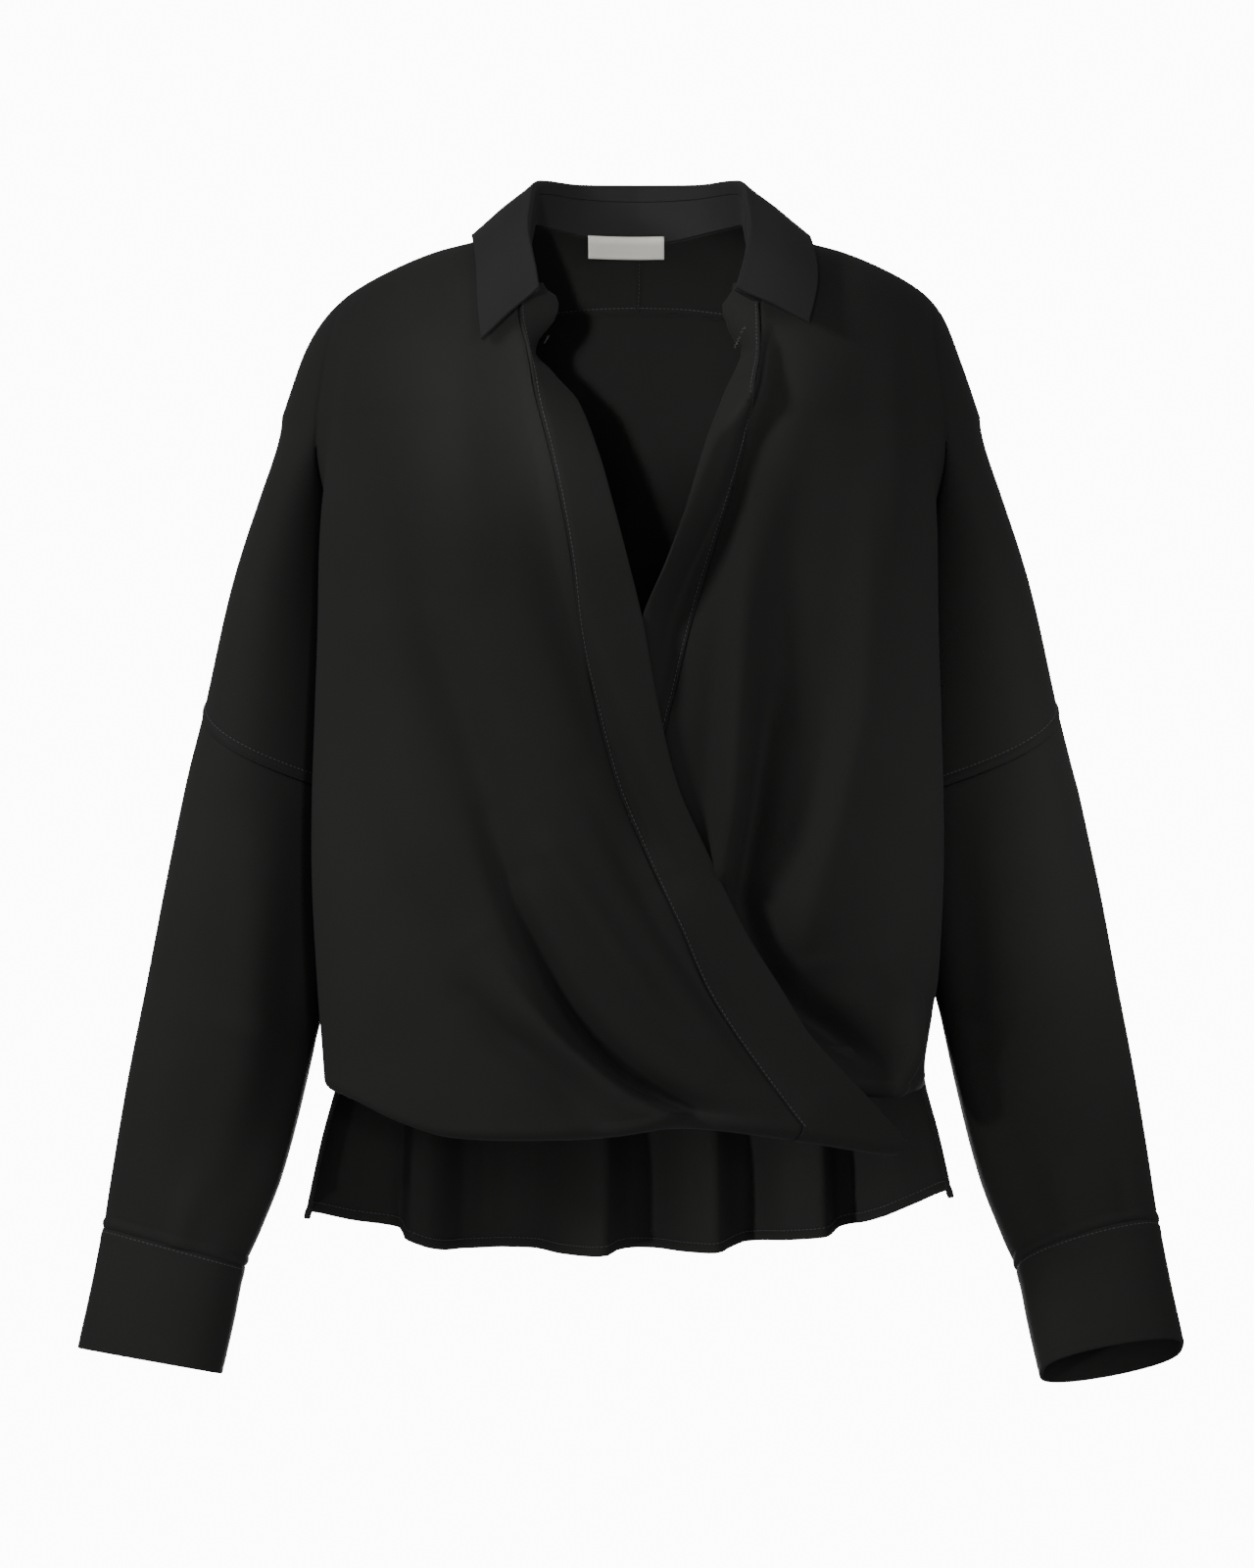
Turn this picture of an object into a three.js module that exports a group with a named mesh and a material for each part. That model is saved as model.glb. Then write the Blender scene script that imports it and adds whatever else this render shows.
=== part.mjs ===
// A long-sleeved wrap top in black crepe, standing hollow in its worn shape.
// All sizes are in millimetres. +X is the wearer's left, -Y the front and +Z up.
// The origin is the middle of the neck, level with the inner ends of the shoulder seams.
import * as THREE from 'three';

// Driving dimensions
const CLOTH = 1.4; // wall of a single layer of cloth
const DOUBLED = 2.2; // wall of a faced or doubled piece: bands, cuffs and collar
const SEAM = 0.4; // gap between two pieces that are sewn together
const OVERLAP_LIFT = 5; // how far the outer front lies off the inner one
const UNDERLAP_SINK = 14; // how far the inner front falls back where it is covered
const YOKE_SEAM_TURN = 0.72; // the yoke's lower seam, from the shoulder seam down to the girdle
const YOKE_GAP = 0.004; // share of that turn on each side of the yoke's seam
const BAND_TOP = 0.7; // the upper end of the bands, on the same scale
const GIRDLE_Z = -110; // below this the cloth hangs, and above it it turns over the shoulder
const UNDERARM_Z = -352; // where the side seam and the sleeve seam meet
const DROP_SEAM_Z = -293; // the sleeve seam at the outside of the arm
const SIDE_SEAM_END_Z = -534; // the side seam stops here, above the side vents
const BACK_HEM_GUIDE_Z = -610; // the level at which places along the back's hem are told apart
const NECK_SHIFT = 5; // the neck and collar sit this far to the wearer's left of the body's middle
const NECK_SHIFT_FROM = -75; // the shift sets in between these two levels
const NECK_SHIFT_TO = -15;
const SHOULDER_WRAP = 1.047; // angle of the whole shoulder section that belongs to the body
const CREST_SHARE = 0.85; // share of a body section's width in front of its side fold
const BOXINESS = 2.4; // exponent of the body's rounded-rectangle sections
const SHOULDER_DRAW = { most: 12, fromX: 66, overX: 154 }; // how far the ridge is drawn in over the girdle
const NEAR_NECK = { all: 60, none: 150 }; // half widths between which the shoulder's turn changes
const SHOULDER_TURN = { front: 1, frontNeck: 1.35, back: 2.2, backNeck: 0.8 };
const FOLDS_START = { none: 0.4, all: 1.2 }; // rows over which a front's folds and lift set in
const FOLDS_END = { all: 0.8, none: 0.95 }; // places across over which they end before the tuck
const COVERED = { from: -2, to: 24 }; // width of the step where the inner front goes under
const FOLD_HEADING = 1.2; // angle that a fold stands out at beside the tuck
const BAND_ROLL = 1.3; // how the band's fall back grows towards its free edge
const BAND_FOLD_GAP = 0.05; // more gap at the band's seam where the band folds back sharply
const BAND_REACH = { low: -0.99, high: 0.8, below: 8 };
const FLUTES_START = { none: 2.3, all: 3 };
const FLUTES_END = { all: 0.9, none: 1 };
const UNDERARM_Y = 8; // where the sleeve seam meets the side seam, back from the origin
const UNDERARM_ROOM = 2.6; // how far the sleeve's top is held off the side seam

// Body and upper arm, one row for each level. A section runs from the middle of the front or back
// out to the crest of the side fold, in to the tuck beside the arm, and over the arm to its ridge.
// Below the underarm the tuck is the side seam. "tucked" is how far the side fold is formed.
const SECTIONS = [
  {
    z: -110, front: 98, crestX: 182, crestY: -50, tuckX: 190, tuckY: -36,
    backTuckX: 190, backTuckY: 42, backCrestX: 180, backCrestY: 52, back: 92,
    outer: 220, ridgeY: 3, bulge: 38, tucked: 0.15,
  },
  {
    z: -155, front: 113, crestX: 185, crestY: -56, tuckX: 180, tuckY: -26,
    backTuckX: 180, backTuckY: 36, backCrestX: 183, backCrestY: 60, back: 99,
    outer: 234, ridgeY: 5, bulge: 42, tucked: 0.6,
  },
  {
    z: -217, front: 126, crestX: 189, crestY: -60, tuckX: 172, tuckY: -12,
    backTuckX: 172, backTuckY: 28, backCrestX: 186, backCrestY: 66, back: 104,
    outer: 252, ridgeY: 7, bulge: 46, tucked: 1,
  },
  {
    z: -293, front: 131, crestX: 191, crestY: -61, tuckX: 168, tuckY: 0,
    backTuckX: 168, backTuckY: 17, backCrestX: 188, backCrestY: 68, back: 103,
    outer: 269, ridgeY: 10, bulge: 49, tucked: 1,
  },
  {
    z: -352, front: 129, crestX: 193, crestY: -60, tuckX: 168, tuckY: 6.9,
    backTuckX: 168, backTuckY: 9.1, backCrestX: 188, backCrestY: 68, back: 101,
    outer: 283, ridgeY: 12, bulge: 50, tucked: 1,
  },
  {
    z: -403, front: 127, crestX: 193, crestY: -58, tuckX: 163, tuckY: 9,
    backTuckX: 163, backTuckY: 9, backCrestX: 187, backCrestY: 66, back: 100,
    outer: 294, ridgeY: 12, bulge: 50, tucked: 1,
  },
  {
    z: -465, front: 125, crestX: 190, crestY: -54, tuckX: 170, tuckY: 9,
    backTuckX: 170, backTuckY: 9, backCrestX: 186, backCrestY: 62, back: 100,
    outer: 306, ridgeY: 12, bulge: 50, tucked: 1,
  },
  {
    z: -527, front: 119, crestX: 186, crestY: -48, tuckX: 184, tuckY: 8,
    backTuckX: 184, backTuckY: 8, backCrestX: 188, backCrestY: 56, back: 101,
    outer: 318, ridgeY: 12, bulge: 50, tucked: 1,
  },
  {
    z: -565, front: 110, crestX: 186, crestY: -42, tuckX: 195, tuckY: 6,
    backTuckX: 195, backTuckY: 6, backCrestX: 197, backCrestY: 50, back: 102,
    outer: 325, ridgeY: 12, bulge: 50, tucked: 1,
  },
  {
    z: -650, front: 100, crestX: 195, crestY: -36, tuckX: 213, tuckY: 6,
    backTuckX: 213, backTuckY: 6, backCrestX: 215, backCrestY: 40, back: 104,
    outer: 338, ridgeY: 12, bulge: 50, tucked: 1,
  },
];

// The shoulder seam and the top of the arm, from inside the neck hole to the girdle
const RIDGE = [
  { x: -10, z: 24 }, { x: 30, z: 22 }, { x: 66, z: 14 }, { x: 102, z: 2 }, { x: 130, z: -6 },
  { x: 158, z: -18 }, { x: 180, z: -31 }, { x: 192, z: -43 }, { x: 200, z: -56 }, { x: 208, z: -75 },
  { x: 216, z: -100 },
];

// Free edge and stitched edge of the two front bands, each in its own frame: its own side is +X,
// and below the bust it crosses to the other side. "sunk" is how far the free edge stands back.
// Above the top of the band the stitched edge is the neck seam.
const RIGHT_EDGE = [
  { z: 30, x: 52, stitch: 66, sunk: 24 }, { z: 14, x: 52, stitch: 66, sunk: 24 },
  { z: -10, x: 52, stitch: 68, sunk: 24 }, { z: -44, x: 49, stitch: 69, sunk: 26 },
  { z: -56, x: 50, stitch: 68, sunk: 28 }, { z: -71, x: 58, stitch: 66, sunk: 32 },
  { z: -86, x: 49, stitch: 62, sunk: 28 }, { z: -105, x: 34, stitch: 58, sunk: 22 },
  { z: -136, x: 21, stitch: 50, sunk: 16 }, { z: -167, x: 12, stitch: 43, sunk: 10 },
  { z: -205, x: 2, stitch: 36, sunk: 4 }, { z: -242, x: -7, stitch: 31, sunk: 0 },
  { z: -291, x: -16, stitch: 22, sunk: 0 }, { z: -341, x: -28, stitch: 9, sunk: 0 },
  { z: -384, x: -47, stitch: -9, sunk: 0 }, { z: -428, x: -68, stitch: -30, sunk: 0 },
  { z: -465, x: -91, stitch: -46, sunk: 0 }, { z: -496, x: -111, stitch: -65, sunk: 0 },
  { z: -536, x: -148, stitch: -94, sunk: 0 }, { z: -572, x: -178, stitch: -122, sunk: 0 },
  { z: -620, x: -200, stitch: -150, sunk: 0 },
];
const LEFT_EDGE = [
  { z: 30, x: 54, stitch: 66, sunk: 24 }, { z: 14, x: 54, stitch: 66, sunk: 24 },
  { z: -10, x: 56, stitch: 68, sunk: 24 }, { z: -44, x: 58, stitch: 74, sunk: 26 },
  { z: -71, x: 70, stitch: 80, sunk: 32 }, { z: -88, x: 66, stitch: 78, sunk: 30 },
  { z: -106, x: 58, stitch: 76, sunk: 26 }, { z: -130, x: 48, stitch: 70, sunk: 22 },
  { z: -167, x: 35, stitch: 60, sunk: 16 }, { z: -205, x: 22, stitch: 48, sunk: 10 },
  { z: -239, x: 7, stitch: 38, sunk: 5 }, { z: -291, x: -9, stitch: 25, sunk: 0 },
  { z: -341, x: -26, stitch: 11, sunk: 0 }, { z: -384, x: -45, stitch: -7, sunk: 0 },
  { z: -428, x: -66, stitch: -28, sunk: 0 }, { z: -465, x: -89, stitch: -44, sunk: 0 },
  { z: -496, x: -109, stitch: -64, sunk: 0 }, { z: -530, x: -140, stitch: -90, sunk: 0 },
  { z: -600, x: -186, stitch: -140, sunk: 0 },
];

// Lower edges of the fronts, in the same frames, and of the back
const RIGHT_HEM = [
  { x: -200, z: -568 }, { x: -177, z: -567 }, { x: -118, z: -557 }, { x: -46, z: -549 },
  { x: 0, z: -553 }, { x: 50, z: -555 }, { x: 116, z: -554 }, { x: 147, z: -546 }, { x: 182, z: -531 },
  { x: 200, z: -528 },
];
const LEFT_HEM = [
  { x: -200, z: -496 }, { x: -150, z: -514 }, { x: -100, z: -520 }, { x: 0, z: -520 }, { x: 50, z: -518 },
  { x: 100, z: -524 }, { x: 150, z: -529 }, { x: 182, z: -530 }, { x: 200, z: -526 },
];
const BACK_HEM = [
  { x: -212, z: -603 }, { x: -180, z: -618 }, { x: -146, z: -631 }, { x: -118, z: -643 },
  { x: -45, z: -648 }, { x: 50, z: -646 }, { x: 115, z: -636 }, { x: 150, z: -626 }, { x: 178, z: -610 },
  { x: 212, z: -593 },
];

// Drape folds. Each spine is a quadratic curve through a start, a pull point and an end. A ridge
// has a positive height, a trough a negative one, and "tail" is the share left at its end.
const RIGHT_FOLDS = [
  { x0: 100, z0: -300, x1: 72, z1: -470, x2: -74, z2: -544, width: 16, height: 13, tail: 1 },
  { x0: 72, z0: -340, x1: 44, z1: -470, x2: -60, z2: -524, width: 15, height: -12, tail: 0.7 },
  { x0: 54, z0: -280, x1: 14, z1: -430, x2: -84, z2: -512, width: 14, height: 6, tail: 0.4 },
  { x0: 26, z0: -305, x1: -8, z1: -420, x2: -104, z2: -530, width: 12, height: -6, tail: 0.5 },
  { x0: 120, z0: -430, x1: 66, z1: -520, x2: -6, z2: -550, width: 15, height: -8, tail: 0.7 },
  { x0: 96, z0: -130, x1: 100, z1: -240, x2: 88, z2: -340, width: 24, height: 5, tail: 0 },
  { x0: 150, z0: -170, x1: 148, z1: -330, x2: 140, z2: -500, width: 22, height: -5, tail: 0.3 },
];
const LEFT_FOLDS = [
  { x0: 58, z0: -215, x1: 56, z1: -310, x2: 48, z2: -380, width: 13, height: 6, tail: 0.5 },
  { x0: 78, z0: -260, x1: 70, z1: -420, x2: 134, z2: -512, width: 16, height: -12, tail: 0.6 },
  { x0: 122, z0: -200, x1: 118, z1: -330, x2: 104, z2: -440, width: 18, height: 7, tail: 0.2 },
  { x0: 122, z0: -430, x1: 150, z1: -480, x2: 152, z2: -536, width: 13, height: -8, tail: 1 },
  { x0: 154, z0: -420, x1: 170, z1: -480, x2: 172, z2: -528, width: 13, height: 9, tail: 0.8 },
];

// Flutes of the back, which stand forward and lean to one side
const FLUTES = [
  { x: -172, width: 20, depth: 9, lean: -4 },
  { x: -128, width: 25, depth: 17, lean: -10 },
  { x: -22, width: 30, depth: 18, lean: 11 },
  { x: 50, width: 24, depth: 16, lean: 9 },
  { x: 114, width: 24, depth: 15, lean: 10 },
  { x: 168, width: 18, depth: 8, lean: 4 },
];

// Sleeve rails, by level: the underarm seam on the inside and the fold line on the outside
const INNER_RAIL = [
  { z: -340, x: 166 }, { z: -353, x: 168 }, { z: -403, x: 179 }, { z: -465, x: 192 },
  { z: -527, x: 206 }, { z: -589, x: 222 }, { z: -625, x: 236 }, { z: -646, x: 245 },
  { z: -680, x: 252 }, { z: -716, x: 260 }, { z: -740, x: 266 },
];
const OUTER_RAIL = [
  { z: -280, x: 266 }, { z: -294, x: 269 }, { z: -341, x: 281 }, { z: -403, x: 294 },
  { z: -465, x: 306 }, { z: -527, x: 318 }, { z: -589, x: 328 }, { z: -622, x: 333 },
  { z: -660, x: 340 }, { z: -698, x: 348 }, { z: -740, x: 356 },
];
const CUFF = { innerZ: -646, outerZ: -622, endInnerZ: -713, endOuterZ: -697, end: 1.24 };
const FOREARM = [
  { down: 0, y: 10, bulge: 49, round: 0, front: 0 },
  { down: 0.3, y: 14, bulge: 48, round: 0.5, front: 0.1 },
  { down: 0.6, y: 12, bulge: 42, round: 1, front: 0.4 },
  { down: 0.9, y: 4, bulge: 36, round: 1, front: 0.9 },
  { down: 1, y: 1, bulge: 32, round: 1, front: 1 },
  { down: 1.24, y: -8, bulge: 31, round: 1, front: 1 },
];
// How far each cuff's front edge is raised over its back edge, from the bend of the forearm
const CUFF_RAISE = { right: 4, left: 14 };

// Neck seam, fold line of the collar and outer edge of its leaf, from the middle of the back
// (turn 0) round to the front end (turn 1)
const COLLAR = [
  {
    turn: 0, x: 0, y: 64, z: 9,
    foldX: 0, foldY: 69, foldZ: 45, outerX: 0, outerY: 88, outerZ: -6,
  },
  {
    turn: 0.2, x: 38, y: 54, z: 11,
    foldX: 37, foldY: 59, foldZ: 44, outerX: 62, outerY: 76, outerZ: -2,
  },
  {
    turn: 0.4, x: 62, y: 26, z: 14,
    foldX: 58, foldY: 32, foldZ: 43, outerX: 97, outerY: 38, outerZ: 4,
  },
  {
    turn: 0.55, x: 67, y: 0, z: 13,
    foldX: 64, foldY: 6, foldZ: 38, outerX: 105, outerY: 0, outerZ: 6,
  },
  {
    turn: 0.7, x: 68, y: -28, z: 1,
    foldX: 66, foldY: -20, foldZ: 24, outerX: 105, outerY: -36, outerZ: -5,
  },
  {
    turn: 0.85, x: 69, y: -50, z: -19,
    foldX: 65, foldY: -48, foldZ: 1, outerX: 104, outerY: -66, outerZ: -33,
  },
  {
    turn: 1, x: 68, y: -70, z: -43,
    foldX: 58, foldY: -73, foldZ: -36, outerX: 99, outerY: -90, outerZ: -63,
  },
];
const TIP_SHIFT = { right: { x: -7, z: -5 }, left: { x: 9, z: 5 } }; // how far each tip lies from the table
const STAND_FOOT = 2.4; // the stand starts this far above the neck seam
const LEAF_SEAM = 0.74; // where the leaf is sewn to the stand, from the neck seam up to the fold
const LEAF_GAP = 0.02; // share of the stand's height on each side of that seam
const LEAF_TOP = 0.96; // where the leaf starts to turn over
const LEAF_FALL = [
  { share: 0.03, lift: 2 }, { share: 0.14, lift: 1.5 }, { share: 0.5, lift: 2 }, { share: 1, lift: 0 },
];
const BACK_NECK = { halfWidth: 67, depth: 64 }; // the neck seam of the back
const LABEL = { width: 49, middleX: -8, z: 9, thickness: 0.8, inside: 4, columns: 4 };
const LABEL_ROWS = [{ up: 5, back: 0.5 }, { up: 0, back: 0 }, { up: -10, back: 7 }];

// Grid sizes
const FRONT_COLUMNS = { right: 21, left: 18 };
const BAND_COLUMNS = 3;
const CAP_ROWS = 4; // over the shoulder
const CHEST_ROWS = 7; // from the girdle to the underarm
const BODY_ROWS = 11; // from the underarm to the hem of a front
const BACK_COLUMNS = 36;
const BACK_SECOND_ROW = 0.86;
const ARM_COLUMNS = 8;
const YOKE_ROWS = 3;
const YOKE_STOPS = [
  0.002, 0.08, 0.15, 0.21, 0.255, 0.2836, 0.36, 0.48, 0.62, 0.78, 0.9, 1, 1.25, 1.5, 1.75, 2,
];
const SLEEVE_ROWS = 9;
const CUFF_ROWS = 2;
const COLLAR_STEPS = 36;
const STAND_ROWS = 2;

const clamp = THREE.MathUtils.clamp;
const lerp = THREE.MathUtils.lerp;
const smoothstep = THREE.MathUtils.smoothstep;

// One row of a table at any place between its rows, on a smooth curve through them
function rowAt(table, key, place) {
  const rising = table[table.length - 1][key] > table[0][key];
  const last = table.length - 2;
  let i = 0;
  while (i < last && (rising ? table[i + 1][key] < place : table[i + 1][key] > place)) i += 1;
  const before = table[Math.max(i - 1, 0)];
  const from = table[i];
  const to = table[i + 1];
  const after = table[Math.min(i + 2, table.length - 1)];
  const span = to[key] - from[key];
  const t = clamp((place - from[key]) / span, 0, 1);
  const row = {};
  for (const column of Object.keys(from)) {
    const slopeIn = (to[column] - before[column]) / (to[key] - before[key]);
    const slopeOut = (after[column] - from[column]) / (after[key] - from[key]);
    const start = from[column] * (2 * t ** 3 - 3 * t ** 2 + 1) + slopeIn * span * (t ** 3 - 2 * t ** 2 + t);
    row[column] = start + to[column] * (3 * t ** 2 - 2 * t ** 3) + slopeOut * span * (t ** 3 - t ** 2);
  }
  row[key] = place;
  return row;
}

const signedPower = (value, power) => Math.sign(value) * Math.abs(value) ** power;

// A point of the front (facing -1) or back (facing 1) at one level. "across" runs from -1 to 1
// over the body, from tuck to tuck, and from 1 to 2 over the arm.
function hangingPoint(facing, across, z) {
  const s = rowAt(SECTIONS, 'z', z);
  const depth = facing < 0 ? s.front : s.back;
  const crest = facing < 0 ? [s.crestX, -s.crestY] : [s.backCrestX, s.backCrestY];
  const tuck = facing < 0 ? [s.tuckX, -s.tuckY] : [s.backTuckX, s.backTuckY];
  const ridge = facing * s.ridgeY;
  const side = Math.sign(across) || 1;
  const reach = Math.abs(across);
  const share = 2 / BOXINESS;
  const wide = reach <= 1 ? reach * SHOULDER_WRAP : lerp(SHOULDER_WRAP, Math.PI / 2, reach - 1);
  const smooth = [
    s.outer * signedPower(Math.sin(wide), share),
    ridge + (depth - ridge) * signedPower(Math.cos(wide), share),
  ];
  let folded;
  if (reach <= CREST_SHARE) {
    const angle = (reach / CREST_SHARE) * (Math.PI / 2);
    folded = [
      crest[0] * signedPower(Math.sin(angle), share),
      crest[1] + (depth - crest[1]) * signedPower(Math.cos(angle), share),
    ];
  } else if (reach <= 1) {
    const t = (reach - CREST_SHARE) / (1 - CREST_SHARE);
    folded = [
      lerp(crest[0], tuck[0], (1 - Math.cos(Math.PI * t)) / 2),
      lerp(crest[1], tuck[1], t),
    ];
  } else {
    const t = reach - 1;
    folded = [
      lerp(tuck[0], s.outer, Math.sin((Math.PI / 2) * t)),
      lerp(tuck[1], ridge, t) + s.bulge * Math.sin(Math.PI * t),
    ];
  }
  const x = lerp(smooth[0], folded[0], s.tucked);
  const y = lerp(smooth[1], folded[1], s.tucked);
  return new THREE.Vector3(side * x, facing * y, z);
}

// How full the turn over the shoulder is: below 1 it is boxy, above 1 it is flatter
function shoulderPower(facing, reach) {
  const nearNeck = 1 - smoothstep(reach, NEAR_NECK.all, NEAR_NECK.none);
  if (facing < 0) return lerp(SHOULDER_TURN.front, SHOULDER_TURN.frontNeck, nearNeck);
  return 2 / (SHOULDER_TURN.back + SHOULDER_TURN.backNeck * nearNeck);
}

// The same point above the girdle, where the cloth turns over the shoulder. "turn" is 0 at the
// ridge and 1 at the girdle.
function shoulderPoint(facing, across, turn) {
  const girdle = hangingPoint(facing, across, GIRDLE_Z);
  const reach = Math.abs(girdle.x);
  const drawn = clamp((reach - SHOULDER_DRAW.fromX) / SHOULDER_DRAW.overX, 0, 1);
  const ridgeX = reach - SHOULDER_DRAW.most * drawn;
  const ridgeZ = rowAt(RIDGE, 'x', ridgeX).z;
  const power = shoulderPower(facing, reach);
  const angle = (turn * Math.PI) / 2;
  const out = Math.sin(angle) ** power;
  const down = 1 - Math.cos(angle) ** power;
  return new THREE.Vector3(
    Math.sign(girdle.x || 1) * lerp(ridgeX, reach, down),
    girdle.y * out,
    lerp(ridgeZ, GIRDLE_Z, down),
  );
}

// How far the folds of a front lift the cloth at a place in its own frame
function foldLift(folds, x, z) {
  let lift = 0;
  for (const f of folds) {
    let nearest = Infinity;
    let along = 0;
    for (let k = 0; k <= 20; k += 1) {
      const t = k / 20;
      const sx = (1 - t) ** 2 * f.x0 + 2 * t * (1 - t) * f.x1 + t ** 2 * f.x2;
      const sz = (1 - t) ** 2 * f.z0 + 2 * t * (1 - t) * f.z1 + t ** 2 * f.z2;
      const distance = Math.hypot(x - sx, z - sz);
      if (distance < nearest) {
        nearest = distance;
        along = t;
      }
    }
    const fade = smoothstep(along, 0, 0.35) * lerp(1, f.tail, smoothstep(along, 0.7, 1));
    lift += f.height * fade * Math.exp(-((nearest / f.width) ** 2));
  }
  return lift;
}

// The shape of one front in its own frame. Rows 0 to 1 turn over the shoulder, 1 to 2 hang to the
// underarm and 2 to 3 go on to the hem.
function frontPoint(front, across, row) {
  let point;
  if (row <= 1) {
    point = shoulderPoint(-1, across, row);
  } else if (row <= 2) {
    const arm = clamp(Math.abs(across) - 1, 0, 1);
    const lastZ = lerp(UNDERARM_Z, DROP_SEAM_Z, arm);
    point = hangingPoint(-1, across, lerp(GIRDLE_Z, lastZ, row - 1));
  } else {
    const guide = hangingPoint(-1, across, (UNDERARM_Z + SIDE_SEAM_END_Z) / 2);
    const hemZ = rowAt(front.hem, 'x', guide.x).z;
    point = hangingPoint(-1, across, lerp(UNDERARM_Z, hemZ, row - 2));
  }
  const sideFade = 1 - smoothstep(across, FOLDS_END.all, FOLDS_END.none);
  const settle = smoothstep(row, FOLDS_START.none, FOLDS_START.all) * sideFade;
  const past = -point.x - rowAt(RIGHT_EDGE, 'z', point.z).x;
  const cover = front.covered ? smoothstep(past, COVERED.from, COVERED.to) : 0;
  const folds = foldLift(front.folds, point.x, point.z) * (1 - cover);
  const lift = settle * (folds + front.lift - UNDERLAP_SINK * cover);
  const heading = clamp(across, -1, 1) * FOLD_HEADING;
  point.y -= lift * Math.cos(heading);
  point.x += lift * Math.sin(heading);
  return point;
}

// Where a row of a front crosses a line between the free edge (share 0) and the stitched edge
// (share 1) of its band, and "inset" beyond it, or more where the band folds back
function edgeAcross(front, row, share, inset, foldGap = 0) {
  let { low, high } = BAND_REACH;
  for (let k = 0; k < 30; k += 1) {
    const middle = (low + high) / 2;
    const p = frontPoint(front, middle, row);
    const edge = rowAt(front.edge, 'z', p.z);
    const below = rowAt(front.edge, 'z', p.z - BAND_REACH.below);
    const slant = Math.hypot(edge.x - below.x, BAND_REACH.below) / BAND_REACH.below;
    const gap = (inset + foldGap * edge.sunk) * slant;
    if (p.x < lerp(edge.x, edge.stitch, share) + gap) low = middle;
    else high = middle;
  }
  return (low + high) / 2;
}

// A closed wall of cloth round a sheet of points. Cells are quads of point numbers. The edge of a
// point on a shoulder seam or side seam is square to the cloth on both sides of the seam.
function wall(points, cells, thickness) {
  const normals = points.map(() => new THREE.Vector3());
  const edges = new Map();
  for (const [a, b, c, d] of cells) {
    const first = new THREE.Vector3().subVectors(points[c], points[a]);
    const second = new THREE.Vector3().subVectors(points[d], points[b]);
    const normal = new THREE.Vector3().crossVectors(first, second);
    for (const corner of [a, b, c, d]) normals[corner].add(normal);
    for (const [from, to] of [[a, b], [b, c], [c, d], [d, a]]) {
      if (edges.has(`${to}-${from}`)) edges.delete(`${to}-${from}`);
      else edges.set(`${from}-${to}`, [from, to]);
    }
  }
  points.forEach((point, i) => {
    if (point.onSeam) normals[i].y = 0;
  });
  const positions = [];
  for (const share of [0.5, -0.5]) {
    points.forEach((point, i) => {
      const shifted = normals[i].clone().normalize().multiplyScalar(thickness * share).add(point);
      positions.push(shifted.x, shifted.y, shifted.z);
    });
  }
  const count = points.length;
  const index = [];
  for (const [a, b, c, d] of cells) {
    index.push(a, b, c, a, c, d);
    index.push(count + a, count + c, count + b, count + a, count + d, count + c);
  }
  for (const [from, to] of edges.values()) {
    index.push(from, count + to, to, from, count + from, count + to);
  }
  const geometry = new THREE.BufferGeometry();
  geometry.setAttribute('position', new THREE.Float32BufferAttribute(positions, 3));
  geometry.setIndex(index);
  return geometry;
}

// A sheet from a grid of points, with the empty places of an L-shaped grid left out. Near the neck
// it is shifted to one side.
function sheet(grid, thickness, flipped = false, closed = false) {
  const numbers = grid.map(() => []);
  const points = [];
  grid.forEach((row, i) => {
    row.forEach((point, j) => {
      if (!point) return;
      numbers[i][j] = points.length;
      const shifted = point.clone();
      shifted.x += NECK_SHIFT * smoothstep(point.z, NECK_SHIFT_FROM, NECK_SHIFT_TO);
      shifted.onSeam = point.onSeam;
      points.push(shifted);
    });
  });
  const cells = [];
  for (let i = 0; i + 1 < grid.length; i += 1) {
    const width = grid[i].length;
    for (let j = 0; j + (closed ? 0 : 1) < width; j += 1) {
      const next = (j + 1) % width;
      const cell = [numbers[i][j], numbers[i][next], numbers[i + 1][next], numbers[i + 1][j]];
      if (cell.includes(undefined)) continue;
      cells.push(flipped ? cell.reverse() : cell);
    }
  }
  return wall(points, cells, thickness);
}

// A point moved on to its own side of a shoulder seam or side seam
function seamed(point, facing) {
  point.y += (facing * SEAM) / 2;
  point.onSeam = true;
  return point;
}

// The same grid on the other side of the body
function mirrored(grid) {
  return grid.map((row) => row.map((point) => {
    if (!point) return null;
    const copy = new THREE.Vector3(-point.x, point.y, point.z);
    copy.onSeam = point.onSeam;
    return copy;
  }));
}

// "curl" is how far the lower edge goes in where it is turned under
const RIGHT_FRONT = {
  edge: RIGHT_EDGE, hem: RIGHT_HEM, folds: RIGHT_FOLDS, lift: OVERLAP_LIFT, covered: false, curl: 24,
};
const LEFT_FRONT = {
  edge: LEFT_EDGE, hem: LEFT_HEM, folds: LEFT_FOLDS, lift: 0, covered: true, curl: 11,
};

// The lower edge of a front turned under itself, as steps inwards and up
const TURN_UNDER = [
  { inwards: 0.3, up: -3 }, { inwards: 0.75, up: -1 }, { inwards: 1, up: 7 }, { inwards: 1.02, up: 20 },
];

function turnedUnder(front, point) {
  const inward = new THREE.Vector2(point.x * -0.75, -point.y).normalize();
  return TURN_UNDER.map((step) => new THREE.Vector3(
    point.x + inward.x * front.curl * step.inwards,
    point.y + inward.y * front.curl * step.inwards,
    point.z + step.up,
  ));
}

function withTurnUnder(front, grid, columns) {
  const turned = grid[grid.length - 1].slice(0, columns).map((point) => turnedUnder(front, point));
  TURN_UNDER.forEach((step, k) => grid.push(turned.map((points) => points[k])));
  return grid;
}

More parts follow.
